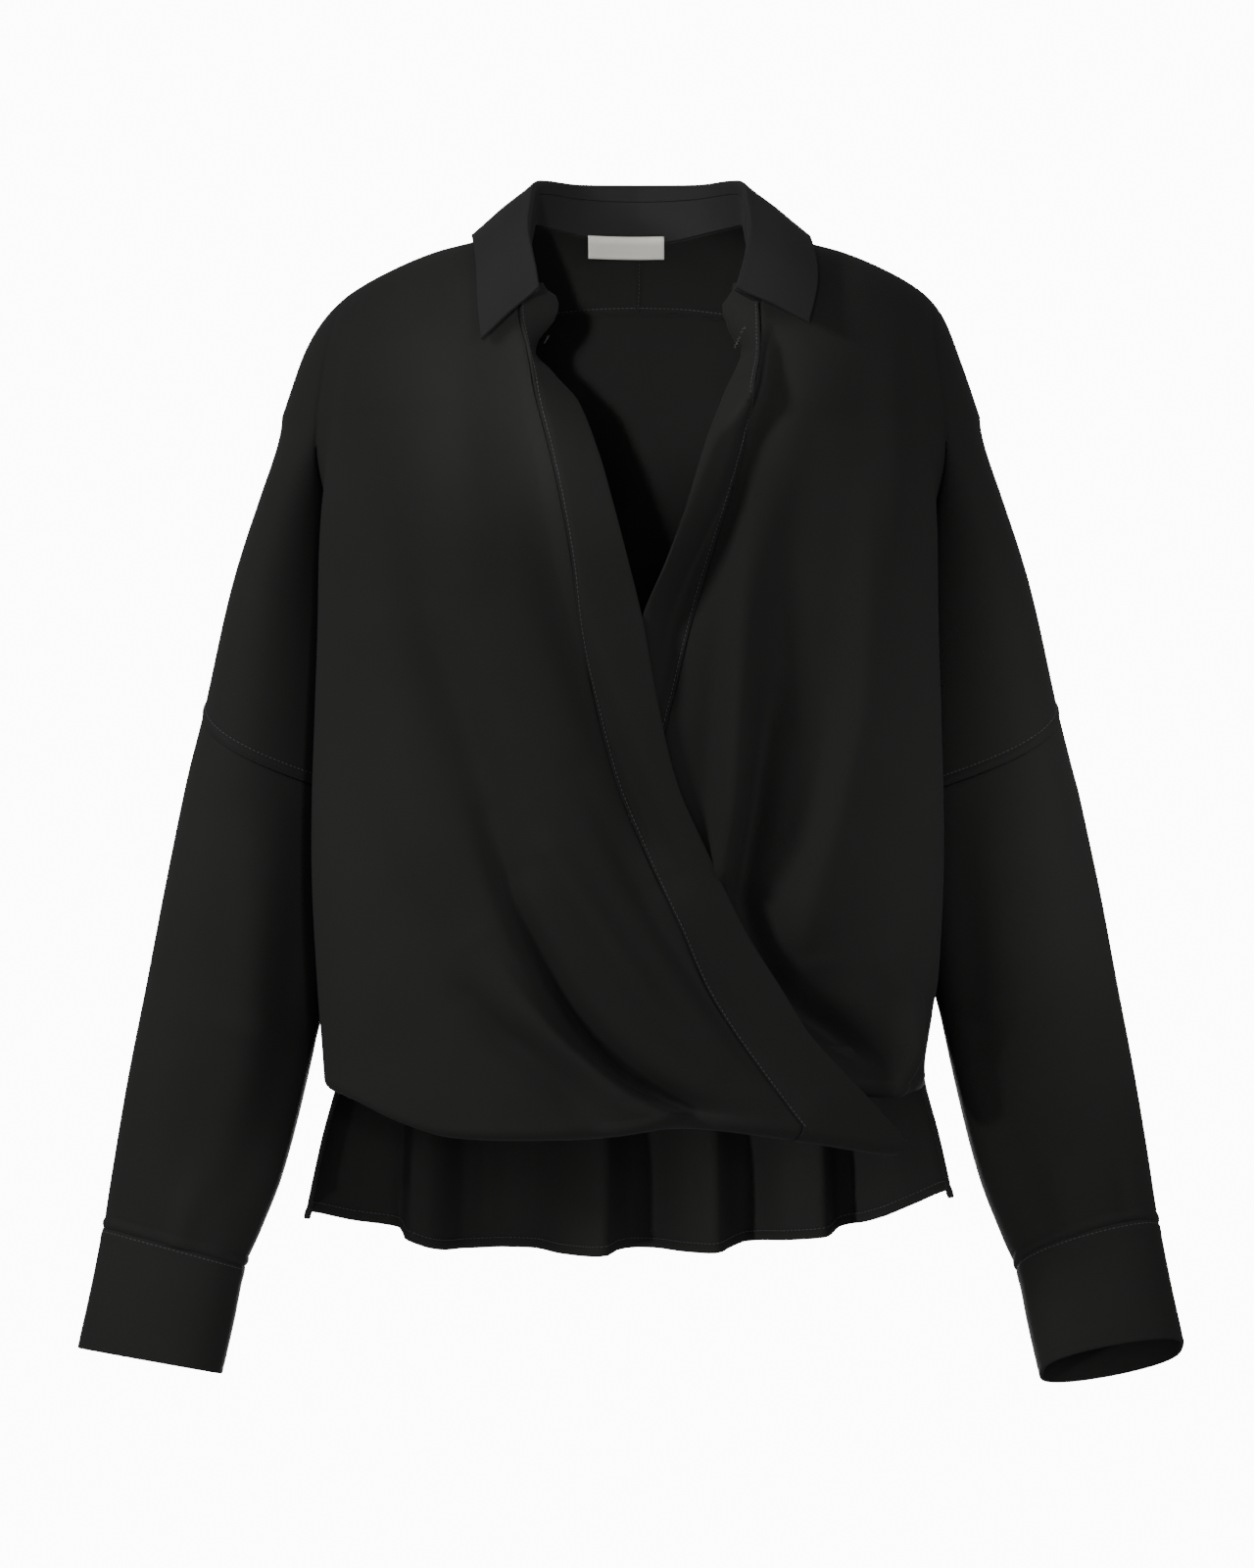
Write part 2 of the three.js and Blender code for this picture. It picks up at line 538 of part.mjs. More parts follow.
// Rows of a front from its shoulder seam, or from the top of its band, down to its lower edge
function frontRows(first) {
  const rows = [first];
  for (let i = 0; i < CAP_ROWS; i += 1) if (i / CAP_ROWS > first) rows.push(i / CAP_ROWS);
  for (let i = 0; i < CHEST_ROWS; i += 1) rows.push(1 + i / CHEST_ROWS);
  for (let i = 0; i <= BODY_ROWS; i += 1) rows.push(2 + i / BODY_ROWS);
  return rows;
}

function frontPanel(front, columns) {
  const grid = frontRows(0).map((row) => {
    const start = edgeAcross(front, row, 1, SEAM, row > BAND_TOP - 0.2 ? BAND_FOLD_GAP : 0);
    const line = [];
    for (let j = 0; j <= columns; j += 1) {
      const point = frontPoint(front, lerp(start, 1, j / columns), row);
      line.push(row === 0 || (row > 2 && j === columns) ? seamed(point, -1) : point);
    }
    for (let j = 1; j <= ARM_COLUMNS; j += 1) {
      const point = row > 2 ? null : frontPoint(front, 1 + j / ARM_COLUMNS, row);
      line.push(point && (row === 0 || j === ARM_COLUMNS) ? seamed(point, -1) : point);
    }
    return line;
  });
  return withTurnUnder(front, grid, columns + 1);
}

function bandPanel(front) {
  const grid = frontRows(BAND_TOP).map((row) => {
    const start = edgeAcross(front, row, 0, 0);
    const end = edgeAcross(front, row, 1, -SEAM / 2);
    const line = [];
    for (let j = 0; j <= BAND_COLUMNS; j += 1) {
      const share = j / BAND_COLUMNS;
      const point = frontPoint(front, lerp(start, end, share), row);
      point.y += rowAt(front.edge, 'z', point.z).sunk * (1 - share) ** BAND_ROLL;
      line.push(point);
    }
    return line;
  });
  return withTurnUnder(front, grid, BAND_COLUMNS + 1);
}

// The back: rows 0 to 1 turn over the shoulder, 1 to 2 hang to the underarm, 2 to 3 to the hem
function backPoint(across, row) {
  if (row <= 1) return shoulderPoint(1, across, row);
  if (row <= 2) {
    const arm = clamp(Math.abs(across) - 1, 0, 1);
    return hangingPoint(1, across, lerp(GIRDLE_Z, lerp(UNDERARM_Z, DROP_SEAM_Z, arm), row - 1));
  }
  const hemZ = rowAt(BACK_HEM, 'x', hangingPoint(1, across, BACK_HEM_GUIDE_Z).x).z;
  const point = hangingPoint(1, across, lerp(UNDERARM_Z, hemZ, row - 2));
  const inside = 1 - smoothstep(Math.abs(across), FLUTES_END.all, FLUTES_END.none);
  const fall = smoothstep(row, FLUTES_START.none, FLUTES_START.all) * inside;
  for (const flute of FLUTES) {
    const middle = flute.x - flute.lean * (3 - row);
    const near = Math.exp(-(((point.x - middle) / flute.width) ** 2));
    point.y -= flute.depth * fall * near;
  }
  return point;
}

function backPanel() {
  const rows = [YOKE_SEAM_TURN + YOKE_GAP, BACK_SECOND_ROW];
  for (let i = 0; i < CHEST_ROWS; i += 1) rows.push(1 + i / CHEST_ROWS);
  for (let i = 0; i <= BODY_ROWS; i += 1) rows.push(2 + i / BODY_ROWS);
  return rows.map((row) => {
    const line = [];
    for (let j = -ARM_COLUMNS; j <= BACK_COLUMNS + ARM_COLUMNS; j += 1) {
      const onArm = j < 0 || j > BACK_COLUMNS;
      const over = j < 0 ? -j : j - BACK_COLUMNS;
      const side = j < 0 ? -1 : 1;
      const across = onArm ? side * (1 + over / ARM_COLUMNS) : (2 * j) / BACK_COLUMNS - 1;
      const point = onArm && row > 2 ? null : backPoint(across, row);
      const atSide = row > 2 && (j === 0 || j === BACK_COLUMNS);
      line.push(point && (over === ARM_COLUMNS || atSide) ? seamed(point, 1) : point);
    }
    return line;
  });
}

// One half of the yoke, from the middle of the back to the end of the shoulder seam
function neckTurn(across) {
  const girdle = hangingPoint(1, across, GIRDLE_Z);
  const reach = Math.abs(girdle.x);
  if (reach >= BACK_NECK.halfWidth) return 0;
  const depth = BACK_NECK.depth * Math.sqrt(1 - (reach / BACK_NECK.halfWidth) ** 2);
  return Math.asin((depth / girdle.y) ** (1 / shoulderPower(1, reach))) / (Math.PI / 2);
}

function yokePanel() {
  const grid = [];
  for (let i = 0; i <= YOKE_ROWS; i += 1) {
    grid.push(YOKE_STOPS.map((across) => {
      const first = neckTurn(across);
      const point = shoulderPoint(1, across, lerp(first, YOKE_SEAM_TURN - YOKE_GAP, i / YOKE_ROWS));
      return (first === 0 && i === 0) || across === 2 ? seamed(point, 1) : point;
    }));
  }
  return grid;
}

// A ring round the arm. "down" is 0 at the sleeve seam, 1 at the cuff seam and more on the cuff.
function armRing(side, down, endDown) {
  const shape = rowAt(FOREARM, 'down', down);
  const past = clamp((down - 1) / (endDown - 1), 0, 1);
  const innerZ = down <= 1 ? lerp(UNDERARM_Z, CUFF.innerZ, down) : lerp(CUFF.innerZ, CUFF.endInnerZ, past);
  const outerZ = down <= 1 ? lerp(DROP_SEAM_Z, CUFF.outerZ, down) : lerp(CUFF.outerZ, CUFF.endOuterZ, past);
  const innerX = rowAt(INNER_RAIL, 'z', innerZ).x;
  const outerX = rowAt(OUTER_RAIL, 'z', outerZ).x;
  const ring = [];
  for (let k = 0; k < 2 * ARM_COLUMNS; k += 1) {
    const facing = k < ARM_COLUMNS ? -1 : 1;
    const t = k < ARM_COLUMNS ? k / ARM_COLUMNS : 2 - k / ARM_COLUMNS;
    const acrossArm = lerp(Math.sin((Math.PI / 2) * t), (1 - Math.cos(Math.PI * t)) / 2, shape.round);
    const swell = facing * shape.bulge * Math.sin(Math.PI * t);
    ring.push(new THREE.Vector3(
      lerp(innerX, outerX, acrossArm),
      lerp(lerp(UNDERARM_Y, shape.y, shape.round), shape.y, t) + swell,
      lerp(innerZ, outerZ, acrossArm) - (swell / shape.bulge) * shape.front * CUFF_RAISE[side],
    ));
  }
  return ring;
}

function sleevePanel(side) {
  const grid = [];
  for (let i = 0; i <= SLEEVE_ROWS; i += 1) grid.push(armRing(side, i / SLEEVE_ROWS, CUFF.end));
  grid[0] = grid[0].map((unused, k) => {
    const facing = k < ARM_COLUMNS ? -1 : 1;
    const t = k < ARM_COLUMNS ? k / ARM_COLUMNS : 2 - k / ARM_COLUMNS;
    const point = hangingPoint(facing, 1 + t, lerp(UNDERARM_Z, DROP_SEAM_Z, t) - 1.5 * SEAM);
    point.x += UNDERARM_ROOM * (1 - t) ** 3;
    if (k === 0) point.y = UNDERARM_Y;
    return point;
  });
  for (const point of grid[SLEEVE_ROWS]) point.z += SEAM / 2;
  return grid;
}

function cuffPanel(side) {
  const grid = [];
  for (let i = 0; i <= CUFF_ROWS; i += 1) {
    grid.push(armRing(side, lerp(1, CUFF.end, i / CUFF_ROWS), CUFF.end));
  }
  for (const point of grid[0]) point.z -= SEAM / 2;
  return grid;
}

// One column of the collar, right round from the wearer's right front (-1) to the left (1)
function collarColumn(round) {
  const side = round < 0 ? 'right' : 'left';
  const row = rowAt(COLLAR, 'turn', Math.abs(round));
  const sign = Math.sign(round) || 1;
  const tip = smoothstep(Math.abs(round), 0.5, 1);
  const seam = new THREE.Vector3(sign * row.x, row.y, row.z);
  const fold = new THREE.Vector3(sign * row.foldX, row.foldY, row.foldZ);
  const outer = new THREE.Vector3(
    sign * (row.outerX + TIP_SHIFT[side].x * tip),
    row.outerY,
    row.outerZ + TIP_SHIFT[side].z * tip,
  );
  return { seam, fold, outer };
}

function collarPanels() {
  const stand = [];
  const leaf = [];
  for (let i = 0; i <= COLLAR_STEPS; i += 1) {
    const { seam, fold, outer } = collarColumn((2 * i) / COLLAR_STEPS - 1);
    const up = (share) => new THREE.Vector3().lerpVectors(seam, fold, share);
    const down = (share, lift) => {
      const point = new THREE.Vector3().lerpVectors(fold, outer, share);
      point.z += lift;
      return point;
    };
    const foot = STAND_FOOT / seam.distanceTo(fold);
    const line = [];
    for (let k = 0; k <= STAND_ROWS; k += 1) {
      line.push(up(lerp(foot, LEAF_SEAM - LEAF_GAP, k / STAND_ROWS)));
    }
    stand.push(line);
    const fall = LEAF_FALL.map((stop) => down(stop.share, stop.lift));
    leaf.push([up(LEAF_SEAM + LEAF_GAP), up(LEAF_TOP), ...fall]);
  }
  return { stand, leaf };
}

function labelPanel() {
  return LABEL_ROWS.map((row) => {
    const line = [];
    for (let j = 0; j <= LABEL.columns; j += 1) {
      const x = LABEL.middleX + (j / LABEL.columns - 0.5) * LABEL.width;
      const round = Math.sqrt(1 - (x / BACK_NECK.halfWidth) ** 2);
      line.push(new THREE.Vector3(x, BACK_NECK.depth * round + row.back - LABEL.inside, LABEL.z + row.up));
    }
    return line;
  });
}

// Materials: matt black crepe, and the pale woven label
const crepe = new THREE.MeshStandardMaterial({ color: 0x17171a, roughness: 0.85, metalness: 0 });
const faced = new THREE.MeshStandardMaterial({ color: 0x1b1b1e, roughness: 0.8, metalness: 0 });
const ribbon = new THREE.MeshStandardMaterial({ color: 0xd8d5cb, roughness: 0.6, metalness: 0 });

const top = new THREE.Group();
function piece(name, geometry, material) {
  const mesh = new THREE.Mesh(geometry, material);
  mesh.name = name;
  top.add(mesh);
}

const rightFront = frontPanel(RIGHT_FRONT, FRONT_COLUMNS.right);
const leftFront = frontPanel(LEFT_FRONT, FRONT_COLUMNS.left);
const yoke = yokePanel();
const { stand, leaf } = collarPanels();
piece('front_right', sheet(mirrored(rightFront), CLOTH), crepe);
piece('front_left', sheet(leftFront, CLOTH, true), crepe);
piece('band_right', sheet(mirrored(bandPanel(RIGHT_FRONT)), DOUBLED), faced);
piece('band_left', sheet(bandPanel(LEFT_FRONT), DOUBLED, true), faced);
piece('back', sheet(backPanel(), CLOTH), crepe);
piece('yoke_right', sheet(mirrored(yoke), CLOTH, true), crepe);
piece('yoke_left', sheet(yoke, CLOTH), crepe);
piece('collar_stand', sheet(stand, DOUBLED), faced);
piece('collar_leaf', sheet(leaf, DOUBLED), faced);
piece('sleeve_right', sheet(mirrored(sleevePanel('right')), CLOTH, false, true), crepe);
piece('sleeve_left', sheet(sleevePanel('left'), CLOTH, true, true), crepe);
piece('cuff_right', sheet(mirrored(cuffPanel('right')), DOUBLED, false, true), faced);
piece('cuff_left', sheet(cuffPanel('left'), DOUBLED, true, true), faced);
piece('label', sheet(labelPanel(), LABEL.thickness, true), ribbon);

export default top;
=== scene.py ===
# %% [markdown]
# A wrap top in black crepe, standing hollow in its worn shape. The CAD model gives each
# cut piece as a plain wall. Here each piece is made again as a thin shell on the same sections, with
# its small creases, its sewing and the grain of the cloth. The first cell loads the CAD model and
# keeps its meshes, with their places baked in. The finished top may stand only a little proud of it.

# %% Load the CAD model
import math
from collections import namedtuple
import bpy
import numpy as np
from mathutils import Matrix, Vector


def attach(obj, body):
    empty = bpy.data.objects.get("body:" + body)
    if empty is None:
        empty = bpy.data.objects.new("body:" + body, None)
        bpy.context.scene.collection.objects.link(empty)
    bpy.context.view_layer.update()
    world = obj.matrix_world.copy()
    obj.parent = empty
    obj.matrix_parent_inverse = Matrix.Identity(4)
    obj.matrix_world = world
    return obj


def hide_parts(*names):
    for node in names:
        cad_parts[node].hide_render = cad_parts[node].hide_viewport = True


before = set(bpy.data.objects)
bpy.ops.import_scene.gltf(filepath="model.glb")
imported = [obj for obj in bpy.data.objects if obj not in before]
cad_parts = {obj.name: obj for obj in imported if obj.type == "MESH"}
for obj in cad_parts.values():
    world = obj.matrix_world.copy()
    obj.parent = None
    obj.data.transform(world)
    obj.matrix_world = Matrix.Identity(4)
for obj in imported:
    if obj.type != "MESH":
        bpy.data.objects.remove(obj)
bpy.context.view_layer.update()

# %% [markdown]
# The picture is taken from straight in front, from far enough away that the sleeves do not spread.
# The picture's height covers 992 mm at the middle of the top, so the lens follows from the distance.

# %% Camera
MM = 0.001
VIEW_DISTANCE = 3.0
VIEW_HEIGHT = 0.992
VIEW_CENTRE = (-0.0025, -0.341)
SENSOR = 36

camera_data = bpy.data.cameras.new("front_camera")
camera_data.sensor_fit = "VERTICAL"
camera_data.sensor_height = camera_data.sensor_width = SENSOR
camera_data.lens = SENSOR * VIEW_DISTANCE / VIEW_HEIGHT
camera = bpy.data.objects.new("front_camera", camera_data)
camera.location = (VIEW_CENTRE[0], -VIEW_DISTANCE, VIEW_CENTRE[1])
camera.rotation_euler = (math.pi / 2, 0, 0)
bpy.context.scene.collection.objects.link(camera)
bpy.context.scene.camera = camera
print("lens:", round(camera_data.lens, 1), "mm")

# %% [markdown]
# Black cloth shows its folds only through soft light that comes from one side more than the other.
# A small strong panel stands on the left, a weak one in front and a broad one on the right, and pale
# surroundings fill in. Narrow spots with soft rims then lift what the panels leave too dark: the
# inside of the neck, the hanging hem and its corner, and the inner sides of the sleeves.

# %% Light
# Each panel has its name, place, side in metres and power in watts.
PANELS = (
    ("key_panel", (-2.25, -1.25, 0.8), 0.5, 53),
    ("front_panel", (-0.1, -3.6, -0.2), 0.9, 18),
    ("fill_panel", (2.5, -2.1, 0.2), 1.5, 31),
)
PANEL_TARGET = (0, 0, -0.33)
# Each spot has its name, place, target, cone in degrees and power in watts.
SPOTS = (
    ("neck_spot", (-0.34, -2.2, -0.1), (0.002, 0.08, -0.055), 3.1, 1150),
    ("hem_spot", (-1.8, -1.9, -1.05), (0.14, 0.09, -0.67), 9.0, 240),
    ("corner_spot", (-0.75, -2.6, -1.2), (-0.192, 0.09, -0.65), 2.7, 560),
    ("right_sleeve_spot", (1.2, -2.7, -0.2), (0.28, 0.0, -0.36), 9, 200),
    ("left_sleeve_spot", (0.35, -2.9, -0.2), (-0.25, 0.0, -0.38), 8, 150),
)
SPOT_RADIUS = 0.12
SKY_STRENGTH = 0.28


def add_light(name, kind, place, target, power):
    """A light that looks at its target. It gives back the data, for the settings of its kind."""
    data = bpy.data.lights.new(name, kind)
    data.energy = power
    light = bpy.data.objects.new(name, data)
    light.location = place
    light.rotation_euler = (light.location - Vector(target)).to_track_quat("Z", "Y").to_euler()
    bpy.context.scene.collection.objects.link(light)
    return data


for name, place, size, power in PANELS:
    panel = add_light(name, "AREA", place, PANEL_TARGET, power)
    panel.shape = "SQUARE"
    panel.size = size

for name, place, target, cone, power in SPOTS:
    spot = add_light(name, "SPOT", place, target, power)
    spot.spot_size = math.radians(cone)
    spot.spot_blend = 1.0
    spot.shadow_soft_size = SPOT_RADIUS

world = bpy.data.worlds.new("pale_surroundings")
world.use_nodes = True
sky = world.node_tree.nodes["Background"]
sky.inputs["Color"].default_value = (1, 1, 1, 1)
sky.inputs["Strength"].default_value = SKY_STRENGTH
bpy.context.scene.world = world
print("panels:", len(PANELS), " spots:", len(SPOTS))

# %% [markdown]
# A garment's form is easiest to give as level sections. Each table below has a row for each level
# and a named column for each size, in millimetres, and a smooth curve runs through the rows. The
# sections are the ones that the CAD walls were cut to.

# %% Tables and smooth curves through them


def table(names, *rows):
    """Named columns from short rows of numbers."""
    return dict(zip(names.split(), np.array(rows, float).T))


def read(rows, key, place):
    """All columns of a table at each place, on a smooth curve through the rows."""
    keys = rows[key]
    way = 1.0 if keys[-1] > keys[0] else -1.0
    last = len(keys) - 1
    place = np.clip(np.asarray(place, float), keys.min(), keys.max())
    i = np.clip(np.searchsorted(way * keys, way * place, side="right") - 1, 0, last - 1)
    before, after = np.maximum(i - 1, 0), np.minimum(i + 2, last)
    span = keys[i + 1] - keys[i]
    t = (place - keys[i]) / span
    found = {}
    for name, column in rows.items():
        slope_in = (column[i + 1] - column[before]) / (keys[i + 1] - keys[before])
        slope_out = (column[after] - column[i]) / (keys[after] - keys[i])
        found[name] = (
            column[i] * (2 * t**3 - 3 * t**2 + 1)
            + slope_in * span * (t**3 - 2 * t**2 + t)
            + column[i + 1] * (3 * t**2 - 2 * t**3)
            + slope_out * span * (t**3 - t**2)
        )
    return found


def mix(a, b, share):
    """A value between a and b."""
    return a + (b - a) * share


def smoothstep(value, low, high):
    """A soft step from 0 at low to 1 at high."""
    t = np.clip((value - low) / (high - low), 0, 1)
    return t * t * (3 - 2 * t)


def bump(value, middle, width):
    """A soft hump, 1 at the middle."""
    return np.exp(-(((value - middle) / width) ** 2))


GIRDLE_Z, UNDERARM_Z, DROP_SEAM_Z, SIDE_SEAM_END_Z = -110, -352, -293, -534
# How far round a shoulder section the body goes, where the side fold's crest stands, how square the
# sections are, and how full the arm is near its seams.
SHOULDER_WRAP, CREST_SHARE, BOXINESS, ARM_FULLNESS = 1.047, 0.85, 2.4, 0.65
SEAM = 0.1
YOKE_SEAM_TURN, BAND_TOP = 0.72, 0.48

SECTIONS = table(
    "z front crestX crestY tuckX tuckY backTuckX backTuckY backCrestX backCrestY back outer"
    " ridgeY bulge tucked",
    (-110, 98, 182, -50, 190, -36, 190, 42, 180, 52, 92, 220, 3, 38, 0.15),
    (-155, 113, 185, -56, 180, -26, 180, 36, 183, 60, 99, 234, 5, 42, 0.6),
    (-217, 126, 189, -60, 172, -12, 172, 28, 186, 66, 104, 252, 7, 46, 1),
    (-293, 131, 191, -61, 168, 0, 168, 17, 188, 68, 103, 269, 10, 49, 1),
    (-352, 129, 193, -60, 168, 6.9, 168, 9.1, 188, 68, 101, 283, 12, 50, 1),
    (-403, 127, 193, -58, 163, 9, 163, 9, 187, 66, 100, 294, 12, 50, 1),
    (-465, 125, 190, -54, 170, 9, 170, 9, 186, 62, 100, 306, 12, 50, 1),
    (-527, 119, 186, -48, 184, 8, 184, 8, 188, 56, 101, 318, 12, 50, 1),
    (-565, 110, 186, -42, 195, 6, 195, 6, 197, 50, 102, 325, 12, 50, 1),
    (-650, 100, 195, -36, 213, 6, 213, 6, 215, 40, 104, 338, 12, 50, 1),
)
RIDGE = table(
    "x z",
    (-10, 24), (30, 22), (66, 14), (102, 2), (130, -6), (158, -18), (180, -31), (192, -43),
    (200, -56), (208, -75), (216, -100),
)
print("section levels:", len(SECTIONS["z"]), " ridge points:", len(RIDGE["x"]))

# %% [markdown]
# One level section of the top is a rounded rectangle over the chest, then the crest of the side
# fold, the tuck beside the arm, and the oval of the arm. Going round it is counted as "across":
# -1 to 1 is the body, and 1 to 2 the arm up to its ridge. Above the girdle the cloth turns over the
# shoulder on a quarter curve. With numpy a whole sheet of points is worked out at once.

# %% The worn shape


def signed_power(value, power):
    """A power that keeps the sign of its base."""
    return np.sign(value) * np.abs(value) ** power


def hanging_point(facing, across, z):
    """Points of the front (facing -1) or back (facing 1) at their levels."""
    across, z = np.broadcast_arrays(np.asarray(across, float), np.asarray(z, float))
    s = read(SECTIONS, "z", z)
    names = ("crestX", "crestY", "tuckX", "tuckY") if facing < 0 else (
        "backCrestX", "backCrestY", "backTuckX", "backTuckY")
    crest_x, crest_y, tuck_x, tuck_y = (s[name] for name in names)
    if facing < 0:
        crest_y, tuck_y = -crest_y, -tuck_y
    depth = s["front"] if facing < 0 else s["back"]
    ridge = facing * s["ridgeY"]
    reach = np.abs(across)
    share = 2 / BOXINESS
    wide = np.where(reach <= 1, reach * SHOULDER_WRAP, mix(SHOULDER_WRAP, math.pi / 2, reach - 1))
    smooth_x = s["outer"] * signed_power(np.sin(wide), share)
    smooth_y = ridge + (depth - ridge) * signed_power(np.cos(wide), share)
    angle = np.clip(reach / CREST_SHARE, 0, 1) * math.pi / 2
    front_x = crest_x * signed_power(np.sin(angle), share)
    front_y = crest_y + (depth - crest_y) * signed_power(np.cos(angle), share)
    t = np.clip((reach - CREST_SHARE) / (1 - CREST_SHARE), 0, 1)
    return_x = mix(crest_x, tuck_x, (1 - np.cos(math.pi * t)) / 2)
    return_y = mix(crest_y, tuck_y, t)
    t = np.clip(reach - 1, 0, 1)
    arm_x = mix(tuck_x, s["outer"], np.sin(math.pi / 2 * t))
    arm_y = mix(tuck_y, ridge, t) + s["bulge"] * signed_power(np.sin(math.pi * t), ARM_FULLNESS)
    zones = [reach <= CREST_SHARE, reach <= 1]
    x = mix(smooth_x, np.select(zones, [front_x, return_x], arm_x), s["tucked"])
    y = mix(smooth_y, np.select(zones, [front_y, return_y], arm_y), s["tucked"])
    return np.stack([np.where(across < 0, -x, x), facing * y, z], axis=-1)


# The ridge is drawn in by this much over the shoulder's length, which starts at the neck.
RIDGE_DRAW, NECK_REACH, SHOULDER_LENGTH = 12, 66, 154


def shoulder_power(facing, reach):
    """How square the turn over the shoulder is, at each reach from the middle."""
    near_neck = 1 - smoothstep(reach, 60, 150)
    return mix(1, 1.35, near_neck) if facing < 0 else 2 / (2.2 + 0.8 * near_neck)


def shoulder_point(facing, across, turn):
    """The same points above the girdle, from the ridge (turn 0) down to the girdle (turn 1)."""
    girdle = hanging_point(facing, across, GIRDLE_Z)
    reach = np.abs(girdle[..., 0])
    ridge_x = reach - RIDGE_DRAW * np.clip((reach - NECK_REACH) / SHOULDER_LENGTH, 0, 1)
    ridge_z = read(RIDGE, "x", ridge_x)["z"]
    power = shoulder_power(facing, reach)
    angle = turn * math.pi / 2
    out = np.sin(angle) ** power
    down = 1 - np.cos(angle) ** power
    x = np.where(girdle[..., 0] < 0, -1, 1) * mix(ridge_x, reach, down)
    return np.stack([x, girdle[..., 1] * out, mix(ridge_z, GIRDLE_Z, down)], axis=-1)


GIRDLE_EASE = 25


def rows_point(facing, across, row, hem_z):
    """Rows 0 to 1 turn over the shoulder, 1 to 2 hang to the underarm and 2 to 3 to the hem.

    Just below the girdle the sections change slowly, so that no crease shows there.
    """
    across, row = np.broadcast_arrays(np.asarray(across, float), np.asarray(row, float))
    arm = np.clip(np.abs(across) - 1, 0, 1)
    chest_z = mix(GIRDLE_Z, mix(UNDERARM_Z, DROP_SEAM_Z, arm), np.clip(row - 1, 0, 1))
    body_z = mix(UNDERARM_Z, hem_z, np.clip(row - 2, 0, 1))
    z = np.where(row <= 2, chest_z, body_z)
    fallen = GIRDLE_Z - z
    hanging = hanging_point(facing, across, z + fallen * np.exp(-fallen / GIRDLE_EASE))
    hanging[..., 2] = z
    over = shoulder_point(facing, across, np.clip(row, 0, 1))
    return np.where((row <= 1)[..., None], over, hanging)


widest = hanging_point(-1, np.linspace(-1, 1, 41), -293)
print("body width at the chest:", round(float(np.ptp(widest[:, 0]))), "mm")

# %% [markdown]
# Drape folds are soft ridges and troughs that follow a line over the cloth. Each fold gives its
# widths on the two sides of the line, how far it rolls over to one side, and the line's places with
# the height at each. A ridge has positive heights and a trough negative ones. Uneven widths make a
# fold with one steep and one soft side, which is what hanging crepe does.

# %% Folds
FOLD_STEPS = 41
FOLD_END = 14


def fold(wide, narrow, roll, *places):
    """A fold along a smooth line. Each place is (across, level, height) in mm."""
    places = np.array(places, float)
    t = np.linspace(0, len(places) - 1, FOLD_STEPS)
    rows = {"t": np.arange(len(places)), "x": places[:, 0], "z": places[:, 1], "h": places[:, 2]}
    line = read(rows, "t", t) if len(places) > 2 else {
        name: np.interp(t, rows["t"], rows[name]) for name in ("x", "z", "h")}
    return wide, narrow, roll, line["x"], line["z"], line["h"]


def fold_lift(folds, x, z):
    """Height of the folds at each place, and how far they carry it sideways and down."""
    lift, slide_x, slide_z = (np.zeros_like(x) for _ in range(3))
    for wide, narrow, roll, line_x, line_z, heights in folds:
        tx, tz = np.gradient(line_x), np.gradient(line_z)
        step = np.hypot(tx, tz)
        tx, tz = tx / step, tz / step
        k = np.argmin((x[..., None] - line_x) ** 2 + (z[..., None] - line_z) ** 2, axis=-1)
        dx, dz = x - line_x[k], z - line_z[k]
        along = dx * tx[k] + dz * tz[k]
        side = tx[k] * dz - tz[k] * dx
        beyond = ((k == 0) & (along < 0)) | ((k == FOLD_STEPS - 1) & (along > 0))
        past = np.where(beyond, np.abs(along), 0)
        height = np.interp(k + np.where(beyond, 0, along / step[k]), np.arange(FOLD_STEPS), heights)
        width = np.where(side > 0, wide, narrow)
        shape = np.exp(-((side / width) ** 2) - (past / FOLD_END) ** 2)
        lift += height * shape
        carry = roll * shape * np.abs(height) / np.abs(heights).max()
        slide_x += carry * tz[k]
        slide_z -= carry * tx[k]
    return lift, slide_x, slide_z


# %% [markdown]
# The two fronts cross. Each has its own frame, in which its own side is +X, so that one set of
# functions serves both. The tables give the free edge, the stitched edge of the band, and how far
# the free edge has rolled back into the neck opening. The right front lies on the left one, which
# goes on underneath it.

# %% Sizes of the fronts
OVERLAP_LIFT, UNDERLAP_SINK = 5, 14
NECK_SHIFT = 5
RIGHT_EDGE = table(
    "z x stitch sunk",
    (30, 56, 66, 24), (14, 56, 66, 24), (-10, 57, 69, 24), (-28, 60, 70, 24), (-33, 57, 70.5, 24),
    (-37, 51, 71, 24), (-43, 48.5, 71.5, 25), (-49, 49, 71, 26), (-54, 51, 70, 28), (-58.5, 54.5, 68.5, 30),
    (-63, 58, 67, 31), (-67, 59.7, 65.5, 32), (-71, 60.2, 64, 32), (-75, 60, 63.2, 31),
    (-78.5, 57.5, 62.6, 30), (-84, 51.5, 61.6, 28), (-93, 44, 60.2, 26), (-105, 33.5, 58, 22),
    (-136, 21, 50, 16), (-167, 12, 43, 10), (-205, 2, 36, 4), (-242, -7, 31, 0), (-291, -16, 22, 0),
    (-341, -28, 9, 0), (-384, -47, -9, 0), (-428, -68, -30, 0), (-465, -91, -46, 0),
    (-496, -111, -65, 0), (-536, -148, -94, 0), (-572, -178, -122, 0), (-620, -200, -150, 0),
)
